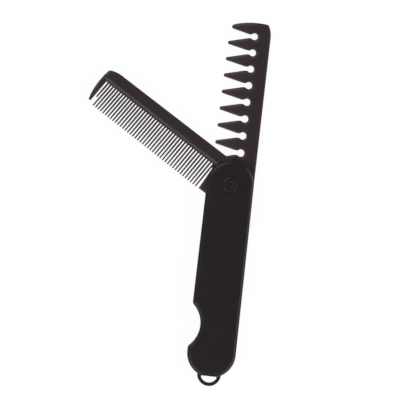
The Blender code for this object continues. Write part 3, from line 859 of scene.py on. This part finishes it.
def wide_gap(settings, number):
    """One keyhole gap from its upper flank to its lower one: neck, round hole, neck, and round shoulders."""
    middle = wide_gap_y(settings, number)
    hole_x = WIDE_HOLE_X + WIDE_HOLE_X_STEP * number
    radius = settings.hole_radius + WIDE_HOLE_RADIUS_STEP * number
    neck_half = WIDE_NECK_HALF + WIDE_NECK_HALF_STEP * number
    neck_x = (WIDE_GAP_HALF - neck_half) / WIDE_FLANK_SLOPE
    spread = 180.0 - math.degrees(math.asin(neck_half / radius))
    hole = arc((hole_x, middle), radius, spread, -spread)
    upper = line((neck_x, middle + neck_half), hole[0])
    lower = line(hole[-1], (neck_x, middle - neck_half))
    return ease(ease(upper, hole, settings.shoulder_reach), lower, settings.shoulder_reach)


def wide_tip(settings, number):
    """The round tip of the tooth between one gap and the next, from its upper side to its lower side."""
    flank_angle = math.atan(WIDE_FLANK_SLOPE)
    tip_x = WIDE_TIP_X + WIDE_TIP_X_STEP * number
    below = wide_gap_y(settings, number)
    above = wide_gap_y(settings, number + 1)
    middle = (below + above) / 2 + WIDE_LEAN_STEP * (number + 1) * tip_x
    half = (above - below) / 2 - WIDE_GAP_HALF + WIDE_FLANK_SLOPE * tip_x
    radius = half * math.cos(flank_angle) / (1 - WIDE_FLANK_SLOPE * math.cos(flank_angle))
    turn = 90.0 + math.degrees(flank_angle)
    return arc((tip_x + radius, middle), radius, turn, 360.0 - turn, TIP_SPACING)


def wide_outline(settings):
    """The wide comb: spine, curved top end, teeth from the top down, and the tang about the pivot."""
    flank_turn = 90.0 + math.degrees(math.atan(WIDE_FLANK_SLOPE))
    top_centre = (WIDE_TOP_ARC_X, WIDE_TOP_Y - WIDE_TOP_ARC_RADIUS)
    tang_start = math.degrees(math.asin(WIDE_SHOULDER_Y / WIDE_TANG_RADIUS))
    tang_end = math.degrees(math.acos((WIDE_BLOCK_TIP[0] - WIDE_BLOCK_TIP_RADIUS) / WIDE_TANG_RADIUS))
    lines = [
        line((WIDE_SPINE_X_LOW, WIDE_SHOULDER_Y)),
        end_corner(WIDE_SPINE_X_HIGH, WIDE_BEND_Y, WIDE_BEND_RADIUS, WIDE_CORNER_RADIUS, WIDE_CORNER_TURN),
        arc(top_centre, WIDE_TOP_ARC_RADIUS, *WIDE_TOP_ARC_TURN),
        arc(WIDE_LAST_TIP, WIDE_LAST_TIP_RADIUS, WIDE_LAST_TIP_START, 360.0 - flank_turn, TIP_SPACING),
    ]
    for number in reversed(range(settings.gaps)):
        lines.append(wide_gap(settings, number))
        if number:
            lines.append(wide_tip(settings, number - 1))
    lines.append(arc(WIDE_BLOCK_TIP, WIDE_BLOCK_TIP_RADIUS, flank_turn, 180.0, TIP_SPACING))
    lines.append(arc((0.0, 0.0), WIDE_TANG_RADIUS, tang_end, 360.0 + tang_start))
    return closed(*lines)


def bore_loop():
    """The pivot bore in a comb, drawn clockwise so that the material is on its left."""
    return arc((0.0, 0.0), BORE_RADIUS, 360.0, 0.0)[:-1]


def comb_faces(settings, middle, stations):
    """Lower and upper face of a comb: thinner towards the teeth, with a sloping band and a rounded edge."""
    radius = settings.edge_round

    def rise(places, depth):
        half = COMB_THICKNESS / 2 * share_along(places[:, 0], stations)
        fall = settings.roll_drop * roll_fall(depth, settings.roll_width)
        left = half - fall
        return left - np.minimum(radius, left * ROUNDING_MOST) * round_drop(depth, radius)

    def low(places, depth):
        return middle - rise(places, depth)

    def high(places, depth):
        return middle + rise(places, depth)

    return low, high


def make_wide_comb(settings, material):
    """The wide comb, its teeth pillowed and thinner towards their tips."""
    loops = [wide_outline(settings), bore_loop()]
    stations = [(WIDE_TIP_X, settings.tip_share)]
    stations += [(WIDE_TAPER_X + aside, share) for aside, share in WIDE_TAPER_EASE]
    low, high = comb_faces(settings, (WIDE_LOW + WIDE_HIGH) / 2, stations)
    comb = plate("wide_comb_plate", loops, roll_depths(settings), low, high)
    mark_edges(comb, loops)
    mark_tips(comb, WIDE_TAPER_X, WIDE_TIP_X)
    finish_piece(comb, material, "wide_comb", "wide_comb")


def fine_plate_outline(root_x):
    """The fine comb without its teeth: spine, rounded end, guard tooth, root line, block and tang."""
    top_centre = (FINE_TOP_ARC_X, FINE_TOP_Y - FINE_TOP_ARC_RADIUS)
    guard = arc(FINE_GUARD_TIP, FINE_GUARD_TIP_RADIUS, *FINE_GUARD_TIP_TURN, TIP_SPACING)
    guard_inner = line(guard[-1], (root_x, FINE_GUARD_INNER_Y))
    roots = line((root_x, FINE_GUARD_INNER_Y), (root_x, FINE_BLOCK_ROOT[1]))
    return closed(
        end_corner(FINE_SPINE_X, FINE_BEND_Y, FINE_BEND_RADIUS, FINE_CORNER_RADIUS, FINE_CORNER_TURN),
        arc(top_centre, FINE_TOP_ARC_RADIUS, *FINE_TOP_ARC_TURN),
        guard,
        ease(guard_inner, roots, FINE_GUARD_REACH),
        line(FINE_BLOCK_ROOT, FINE_BLOCK_TOP, (FINE_BLOCK_TOP[0], FINE_BLOCK_LOW_Y)),
        arc((0.0, 0.0), FINE_TANG_RADIUS, FINE_TANG_START, 360.0),
    )


def tooth_section(half_width, half_height):
    """Points round one tooth: a box with rounded corners."""
    corner = min(half_width, half_height) * TOOTH_CORNER_SHARE
    points = []
    for quarter in range(4):
        centre_y = (half_width - corner) * (1 if quarter in (0, 3) else -1)
        centre_z = (half_height - corner) * (1 if quarter in (0, 1) else -1)
        for step in range(TOOTH_CORNER_STEPS + 1):
            angle = math.pi / 2 * (quarter + step / TOOTH_CORNER_STEPS)
            points.append((centre_y + corner * math.cos(angle), centre_z + corner * math.sin(angle)))
    return points


def tooth_mesh(settings):
    """One fine tooth along -X with its root at the origin: a flared root, a taper and a round tip."""
    length = FINE_ROOT_X - FINE_FIRST_TIP_X
    root = settings.root_half
    tip = settings.tip_half
    thick = COMB_THICKNESS / 2 * settings.ledge_share * TOOTH_BELOW_LEDGE
    thin = COMB_THICKNESS / 2 * settings.tip_share
    stations = [(TOOTH_INTO_PLATE, TOOTH_FLARE, 1.0)]
    for step in range(TOOTH_FLARE_STEPS + 1):
        angle = math.pi / 2 * step / TOOTH_FLARE_STEPS
        half_width = TOOTH_FLARE + (root - TOOTH_FLARE) * math.sin(angle)
        stations.append((root * (math.cos(angle) - 1), half_width, 1.0))
    for share, narrowing in TOOTH_TAPER:
        stations.append((-root - (length - root - tip) * share, root + (tip - root) * narrowing, 1.0))
    for step in range(TOOTH_TIP_STEPS + 1):
        angle = math.pi / 2 * step / TOOTH_TIP_QUARTER
        height_share = TOOTH_TIP_HEIGHT + (1 - TOOTH_TIP_HEIGHT) * math.cos(angle)
        stations.append((tip - length - tip * math.sin(angle), tip * math.cos(angle), height_share))
    mesh = bmesh.new()
    rings = []
    for place, half_width, height_share in stations:
        half_height = (thick + (thin - thick) * min(1.0, max(0.0, -place / length))) * height_share
        rings.append([mesh.verts.new((place, y, z)) for y, z in tooth_section(half_width, half_height)])
    for ring, following in zip(rings, rings[1:]):
        for step in range(len(ring)):
            after = (step + 1) % len(ring)
            mesh.faces.new((ring[step], ring[after], following[after], following[step]))
    mesh.faces.new(list(reversed(rings[0])))
    mesh.faces.new(rings[-1])
    bmesh.ops.recalc_face_normals(mesh, faces=mesh.faces[:])
    return keep_mesh("fine_tooth", mesh)


def wire(tree, target, value):
    """Feed a node input from a socket, or set it to a plain value."""
    if isinstance(value, bpy.types.NodeSocket):
        tree.links.new(value, target)
    else:
        target.default_value = value


def calculate(tree, operation, *values):
    """The result of a math node."""
    node = tree.nodes.new("ShaderNodeMath")
    node.operation = operation
    for target, value in zip(node.inputs, values):
        wire(tree, target, value)
    return node.outputs[0]


def feed(tree, node, inputs):
    """Feed a node's named inputs, and give its first output."""
    for label, value in inputs.items():
        wire(tree, node.inputs[label.replace("_", " ")], value)
    return node.outputs[0]


def add_node(tree, kind, **inputs):
    """The first output of a new node whose named inputs are fed."""
    return feed(tree, tree.nodes.new(kind), inputs)


def new_sockets(tree, side, kind, *labels):
    """Give a node group named inputs or outputs of one kind."""
    for label in labels:
        tree.interface.new_socket(label, in_out=side, socket_type="NodeSocket" + kind)


def teeth_tree():
    """Geometry nodes that set a tooth along a root line, each leaning and as long as its place asks."""
    tree = bpy.data.node_groups.new("Fine Teeth", "GeometryNodeTree")
    new_sockets(tree, "INPUT", "Geometry", "Tooth")
    new_sockets(tree, "INPUT", "Int", "Teeth")
    new_sockets(tree, "INPUT", "Float", "Root", "First Position", "First Pitch", "Pitch Loss", "First Lean")
    new_sockets(tree, "INPUT", "Float", "Last Lean", "First Tip", "Last Tip", "Short Tip", "Middle Height")
    new_sockets(tree, "INPUT", "Material", "Plastic")
    new_sockets(tree, "OUTPUT", "Geometry", "Teeth Row")
    sizes = tree.nodes.new("NodeGroupInput").outputs
    number = tree.nodes.new("GeometryNodeInputIndex").outputs[0]
    last = calculate(tree, "SUBTRACT", sizes["Teeth"], 1.0)
    share = calculate(tree, "DIVIDE", number, last)
    lean_range = calculate(tree, "SUBTRACT", sizes["Last Lean"], sizes["First Lean"])
    lean = calculate(tree, "MULTIPLY_ADD", lean_range, share, sizes["First Lean"])
    tip_range = calculate(tree, "SUBTRACT", sizes["Last Tip"], sizes["First Tip"])
    full_tip = calculate(tree, "MULTIPLY_ADD", tip_range, share, sizes["First Tip"])
    is_short = calculate(tree, "GREATER_THAN", number, calculate(tree, "SUBTRACT", sizes["Teeth"], 0.5))
    shorter = calculate(tree, "SUBTRACT", sizes["Short Tip"], full_tip)
    tip = calculate(tree, "MULTIPLY_ADD", is_short, shorter, full_tip)
    steps = calculate(tree, "MULTIPLY", number, sizes["First Pitch"])
    pairs = calculate(tree, "MULTIPLY", number, calculate(tree, "SUBTRACT", number, 1.0))
    lost = calculate(tree, "MULTIPLY", pairs, calculate(tree, "MULTIPLY", sizes["Pitch Loss"], 0.5))
    middle = calculate(tree, "ADD", sizes["First Position"], calculate(tree, "SUBTRACT", steps, lost))
    height = calculate(tree, "SUBTRACT", middle, calculate(tree, "MULTIPLY", lean, sizes["Root"]))
    length = calculate(tree, "SUBTRACT", sizes["Root"], tip)
    first_length = calculate(tree, "SUBTRACT", sizes["Root"], sizes["First Tip"])
    stretch = calculate(tree, "DIVIDE", length, first_length)
    turn = calculate(tree, "MULTIPLY", calculate(tree, "ARCTANGENT", lean), -1.0)
    place = add_node(tree, "ShaderNodeCombineXYZ", X=sizes["Root"], Y=height, Z=sizes["Middle Height"])
    size = add_node(tree, "ShaderNodeCombineXYZ", X=stretch, Y=1.0, Z=1.0)
    angle = add_node(tree, "ShaderNodeCombineXYZ", Z=turn)
    count = calculate(tree, "ADD", sizes["Teeth"], 1.0)
    points = add_node(tree, "GeometryNodePoints", Count=count, Position=place)
    tooth = sizes["Tooth"]
    copies = add_node(
        tree, "GeometryNodeInstanceOnPoints", Points=points, Instance=tooth, Rotation=angle, Scale=size
    )
    real = add_node(tree, "GeometryNodeRealizeInstances", Geometry=copies)
    painted = add_node(tree, "GeometryNodeSetMaterial", Geometry=real, Material=sizes["Plastic"])
    wire(tree, tree.nodes.new("NodeGroupOutput").inputs[0], painted)
    return tree


def make_fine_teeth(settings, material):
    """The row of fine teeth, made real by the geometry nodes."""
    teeth = add_object("fine_teeth", tooth_mesh(settings))
    step = teeth.modifiers.new("Fine Teeth", "NODES")
    step.node_group = teeth_tree()
    sizes = {
        "Teeth": settings.teeth,
        "Root": FINE_ROOT_X,
        "First Position": FINE_FIRST_Y,
        "First Pitch": settings.pitch,
        "Pitch Loss": FINE_PITCH_LOSS,
        "First Lean": FINE_FIRST_LEAN,
        "Last Lean": FINE_LAST_LEAN,
        "First Tip": FINE_FIRST_TIP_X,
        "Last Tip": FINE_LAST_TIP_X,
        "Short Tip": FINE_SHORT_TIP_X,
        "Middle Height": (FINE_LOW + FINE_HIGH) / 2,
        "Plastic": material,
    }
    for socket in step.node_group.interface.items_tree:
        if socket.in_out == "INPUT" and socket.name in sizes:
            step[socket.identifier] = sizes[socket.name]
    settle(teeth)
    return teeth


def make_fine_comb(settings, material):
    """The fine comb: its plate with a ledge along the roots, united with the row of teeth."""
    loops = [fine_plate_outline(FINE_ROOT_X), bore_loop()]
    sheet = [fine_plate_outline(FINE_FIRST_TIP_X), bore_loop()]
    stations = [(FINE_FIRST_TIP_X, settings.tip_share), (FINE_LEDGE_FOOT_X, settings.ledge_share)]
    stations += [(FINE_LEDGE_TOP_X, 1.0)]
    low, high = comb_faces(settings, (FINE_LOW + FINE_HIGH) / 2, stations)
    depths = roll_depths(settings)
    for place in (FINE_LEDGE_FOOT_X, FINE_LEDGE_TOP_X):
        depths += [place - FINE_ROOT_X + side for side in LEDGE_SIDES]
    depths.sort()

    def without_roots(face):
        def shaped(places, depth):
            share = np.clip((FINE_GUARD_INNER_Y - places[:, 1]) / FINE_GUARD_BLEND, 0.0, 1.0)
            return face(places, depth + (edge_distance(places, sheet) - depth) * share)

        return shaped

    comb = plate("fine_comb_plate", loops, depths, without_roots(low), without_roots(high))
    combine(comb, make_fine_teeth(settings, material), "UNION")
    mark_edges(comb, loops)
    mark_tips(comb, FINE_ROOT_X, FINE_FIRST_TIP_X)
    comb.data.transform(Matrix.Rotation(math.radians(FINE_REST_DEGREES), 4, "Z"))
    finish_piece(comb, material, "fine_comb", "fine_comb")


def new_group(name, inputs, result):
    """A shader node group: the group itself, the sockets it is given, and the socket of its result."""
    group = bpy.data.node_groups.new(name, "ShaderNodeTree")
    for label, kind in inputs.items():
        new_sockets(group, "INPUT", kind, label)
    for label, kind in result.items():
        new_sockets(group, "OUTPUT", kind, label)
    return group, group.nodes.new("NodeGroupInput").outputs, group.nodes.new("NodeGroupOutput").inputs[0]


def use_group(tree, name, build, **inputs):
    """The result of a group, which is built when it is first used, with its inputs fed."""
    node = tree.nodes.new("ShaderNodeGroup")
    node.node_tree = bpy.data.node_groups.get(name) or build(name)
    return feed(tree, node, inputs)


def noise(tree, place, scale, detail, roughness=0.5):
    """A noise texture's value."""
    return add_node(tree, "ShaderNodeTexNoise", Vector=place, Scale=scale, Detail=detail, Roughness=roughness)


def mix_colours(tree, share, first, second):
    """Two colours mixed. A Mix node has its colour sockets after those for numbers and vectors."""
    mix = tree.nodes.new("ShaderNodeMix")
    mix.data_type = "RGBA"
    wire(tree, mix.inputs[0], share)
    wire(tree, mix.inputs[6], first)
    wire(tree, mix.inputs[7], second)
    return mix.outputs[2]


def moulded_grain(name):
    """Fine pebbled grain of a moulded satin face, with a slow waviness of the mould."""
    inputs = {"Place": "Vector", "Grain Size": "Float", "Waviness": "Float"}
    group, given, result = new_group(name, inputs, {"Height": "Float"})
    scale = calculate(group, "DIVIDE", 1.0, given["Grain Size"])
    fine = noise(group, given["Place"], scale, GRAIN_DETAIL)
    waves = calculate(group, "MULTIPLY", noise(group, given["Place"], *GRAIN_WAVES), given["Waviness"])
    wire(group, result, calculate(group, "ADD", fine, waves))
    return group


def pigment_clouds(name):
    """Faint clouds and specks in the plastic's colour."""
    inputs = {"Place": "Vector", "Base": "Color", "Tint": "Color", "Strength": "Float"}
    group, given, result = new_group(name, inputs, {"Colour": "Color"})
    clouds = calculate(group, "MULTIPLY", noise(group, given["Place"], *CLOUDS), 0.5)
    both = calculate(group, "MULTIPLY_ADD", noise(group, given["Place"], *SPECKS), 0.5, clouds)
    spread = calculate(group, "MULTIPLY", calculate(group, "SUBTRACT", both, CLOUD_START), CLOUD_CONTRAST)
    limited = calculate(group, "MINIMUM", calculate(group, "MAXIMUM", spread, 0.0), 1.0)
    share = calculate(group, "MULTIPLY", limited, given["Strength"])
    wire(group, result, mix_colours(group, share, given["Base"], given["Tint"]))
    return group


def polish_and_sheen_band(name):
    """A band near the edges, broken up by a soft noise: the roughness is polished smoother there, and the
    colour is lightened there as a painted sheen.
    """
    inputs = {"Place": "Vector", "Rim": "Float", "Width": "Float"}
    group, given, result = new_group(name, inputs, {"Mask": "Float"})
    near = calculate(group, "SUBTRACT", 1.0, calculate(group, "DIVIDE", given["Rim"], given["Width"]))
    band = calculate(group, "POWER", calculate(group, "MAXIMUM", near, 0.0), POLISH_AND_SHEEN_FALL)
    broken = calculate(group, "ADD", noise(group, given["Place"], *POLISH_AND_SHEEN_BREAKS), 0.5)
    wire(group, result, calculate(group, "MULTIPLY", band, broken))
    return group


def tinted(colour, factors):
    """A colour times a factor for each channel, as a shader takes it."""
    return (*(channel * factor for channel, factor in zip(colour, factors)), 1.0)


def new_material(name):
    """A material and its surface shader."""
    material = bpy.data.materials.new(name)
    material.use_nodes = True
    return material, material.node_tree.nodes["Principled BSDF"]


def plastic(name, colour, roughness):
    """Dark satin plastic, made once: faint clouds, fine grain, edges polished smoother, and a painted sheen
    that lightens the colour along the edges and towards the tooth tips.
    """
    if name in bpy.data.materials:
        return bpy.data.materials[name]
    finish = bpy.context.scene.comb_finish
    material, surface = new_material(name)
    surface.inputs["IOR"].default_value = PLASTIC_IOR
    tree = material.node_tree
    place = tree.nodes.new("ShaderNodeTexCoord").outputs["Object"]
    marks = []
    for label in ("rim", "tips"):
        attribute = tree.nodes.new("ShaderNodeAttribute")
        attribute.attribute_name = label
        marks.append(attribute.outputs["Fac"])
    rim, tips = marks
    # The edge band: it polishes the roughness smoother, and lightens the colour as a painted sheen.
    edges = use_group(tree, "Handled Edges", polish_and_sheen_band, Place=place, Rim=rim, Width=finish.polish_and_sheen_width)
    base = (*colour, 1.0)
    tint = tinted(colour, CLOUD_TINT)
    clouds = use_group(
        tree, "Pigment Clouds", pigment_clouds, Place=place, Base=base, Tint=tint, Strength=finish.mottle
    )
    # Painted sheen: the colour is made lighter along the edges and towards the tooth tips, as light on their
    # sloping faces would make them look.
    edge_sheen = calculate(tree, "MULTIPLY", edges, finish.painted_edge_sheen)
    painted_sheen = calculate(tree, "MULTIPLY_ADD", tips, finish.painted_tip_sheen, edge_sheen)
    wire(tree, surface.inputs["Base Color"], mix_colours(tree, painted_sheen, clouds, tinted(colour, PAINTED_SHEEN_TINT)))
    smoothest = roughness - SMUDGE_ROUGHNESS / 2
    smudged = calculate(tree, "MULTIPLY_ADD", noise(tree, place, *SMUDGES), SMUDGE_ROUGHNESS, smoothest)
    smoothed = calculate(tree, "MULTIPLY", edges, finish.polish)
    wire(tree, surface.inputs["Roughness"], calculate(tree, "SUBTRACT", smudged, smoothed))
    grain = use_group(
        tree, "Moulded Grain", moulded_grain,
        Place=place, Grain_Size=finish.grain_size, Waviness=GRAIN_WAVINESS,
    )
    bump = add_node(tree, "ShaderNodeBump", Distance=finish.grain_depth, Height=grain)
    wire(tree, surface.inputs["Normal"], bump)
    return material


def cover_plastic():
    """The plastic of the covers and the button."""
    finish = bpy.context.scene.comb_finish
    return plastic("cover_plastic", finish.cover_colour, finish.cover_roughness)


def comb_plastic():
    """The plastic of the two combs."""
    finish = bpy.context.scene.comb_finish
    return plastic("comb_plastic", finish.comb_colour, finish.comb_roughness)


def make_floor(stage):
    """A plain pale floor just below the comb."""
    half = FLOOR_HALF
    corners = [(-half, -half), (half, -half), (half, half), (-half, half)]
    mesh = bpy.data.meshes.new("floor")
    mesh.from_pydata([(*corner, FLOOR_LEVEL) for corner in corners], [], [(0, 1, 2, 3)])
    floor = add_object("floor", mesh)
    paint, surface = new_material("floor_paint")
    surface.inputs["Base Color"].default_value = (*stage.floor_colour, 1.0)
    surface.inputs["Roughness"].default_value = FLOOR_ROUGHNESS
    surface.inputs["Specular IOR Level"].default_value = 0.0
    surface.inputs["Emission Color"].default_value = WHITE
    surface.inputs["Emission Strength"].default_value = stage.floor_glow
    mesh.materials.append(paint)


def make_lights(stage, aim):
    """Four softboxes round the comb on the picture's diagonals, and a dim sky with a pale backdrop."""
    for azimuth, height, share in SOFTBOXES:
        angle = math.radians(azimuth)
        level = math.cos(math.radians(height))
        away = Vector((level * math.cos(angle), level * math.sin(angle), math.sin(math.radians(height))))
        light = bpy.data.lights.new("softbox", "AREA")
        light.shape = "SQUARE"
        light.size = stage.softbox_size
        light.energy = stage.softbox_power * share
        lamp = add_object("softbox", light)
        lamp.location = aim + away * stage.softbox_reach
        lamp.rotation_mode = "QUATERNION"
        lamp.rotation_quaternion = (-away).to_track_quat("-Z", "Y")
    world = bpy.data.worlds.new("studio")
    bpy.context.scene.world = world
    world.use_nodes = True
    tree = world.node_tree
    tree.nodes.clear()
    sky = add_node(tree, "ShaderNodeBackground", Color=WHITE, Strength=stage.overhead)
    backdrop = add_node(tree, "ShaderNodeBackground", Color=WHITE, Strength=stage.backdrop)
    path = tree.nodes.new("ShaderNodeLightPath")
    mix = tree.nodes.new("ShaderNodeMixShader")
    result = tree.nodes.new("ShaderNodeOutputWorld")
    wire(tree, mix.inputs[0], path.outputs["Is Camera Ray"])
    wire(tree, mix.inputs[1], sky)
    wire(tree, mix.inputs[2], backdrop)
    wire(tree, result.inputs["Surface"], mix.outputs[0])


def make_camera(stage, aim):
    """A camera that looks straight down from far off, turned as the picture is."""
    lens = bpy.data.cameras.new("camera")
    lens.lens = stage.lens
    lens.clip_start, lens.clip_end = CAMERA_CLIP
    camera = add_object("camera", lens)
    distance = stage.picture_width * stage.lens / lens.sensor_width
    camera.location = aim + Vector((0.0, 0.0, distance))
    camera.rotation_euler = (0.0, 0.0, stage.picture_turn)
    bpy.context.scene.camera = camera


class COMB_OT_covers(Operator):
    """Make the two handle covers"""

    bl_idname = "comb.covers"
    bl_label = "Handle Covers"

    def execute(self, context):
        scene = context.scene
        make_covers(scene.comb_covers, scene.comb_button, cover_plastic())
        return {"FINISHED"}


class COMB_OT_button(Operator):
    """Make the pivot button"""

    bl_idname = "comb.button"
    bl_label = "Pivot Button"

    def execute(self, context):
        make_button(context.scene.comb_button, cover_plastic())
        return {"FINISHED"}


class COMB_OT_wide_comb(Operator):
    """Make the wide comb"""

    bl_idname = "comb.wide_comb"
    bl_label = "Wide Comb"

    def execute(self, context):
        make_wide_comb(context.scene.comb_wide, comb_plastic())
        return {"FINISHED"}


class COMB_OT_fine_comb(Operator):
    """Make the fine comb with its row of teeth"""

    bl_idname = "comb.fine_comb"
    bl_label = "Fine Comb"

    def execute(self, context):
        make_fine_comb(context.scene.comb_fine, comb_plastic())
        return {"FINISHED"}


class COMB_OT_stage(Operator):
    """Make the floor, the lights and the camera"""

    bl_idname = "comb.stage"
    bl_label = "Studio"

    def execute(self, context):
        stage = context.scene.comb_stage
        aim = Vector((stage.picture_centre_x, stage.picture_centre_y, FRONT_FACE / 2))
        make_floor(stage)
        make_lights(stage, aim)
        make_camera(stage, aim)
        context.scene.view_settings.view_transform = "Standard"
        return {"FINISHED"}


class COMB_PT_panel(Panel):
    """Sizes and makers of the comb"""

    bl_label = "Folding Comb"
    bl_idname = "COMB_PT_panel"
    bl_space_type = "VIEW_3D"
    bl_region_type = "UI"
    bl_category = "Comb"

    def draw(self, context):
        for group, _, operator in SETTINGS:
            box = self.layout.box()
            settings = getattr(context.scene, group)
            for field in settings.__annotations__:
                box.prop(settings, field)
            if operator:
                box.operator(operator)


SETTINGS = (
    ("comb_finish", FinishSettings, ""),
    ("comb_covers", CoverSettings, "comb.covers"),
    ("comb_button", ButtonSettings, "comb.button"),
    ("comb_wide", WideCombSettings, "comb.wide_comb"),
    ("comb_fine", FineCombSettings, "comb.fine_comb"),
    ("comb_stage", StageSettings, "comb.stage"),
)
CLASSES = (
    *(group for _, group, _ in SETTINGS),
    COMB_OT_covers, COMB_OT_button, COMB_OT_wide_comb, COMB_OT_fine_comb, COMB_OT_stage, COMB_PT_panel,
)


def register():
    """Register the classes and hang the settings on the scene."""
    for kind in CLASSES:
        bpy.utils.register_class(kind)
    for name, group, _ in SETTINGS:
        setattr(bpy.types.Scene, name, PointerProperty(type=group))


def unregister():
    """Take the settings and the classes away again."""
    for name, _, _ in SETTINGS:
        delattr(bpy.types.Scene, name)
    for kind in reversed(CLASSES):
        bpy.utils.unregister_class(kind)


def main():
    """Make every piece and the studio."""
    register()
    for thing in list(bpy.data.objects):
        if thing.type in ("CAMERA", "LIGHT"):
            bpy.data.objects.remove(thing)
    bpy.ops.comb.covers()
    bpy.ops.comb.button()
    bpy.ops.comb.wide_comb()
    bpy.ops.comb.fine_comb()
    bpy.ops.comb.stage()


if __name__ == "__main__":
    main()
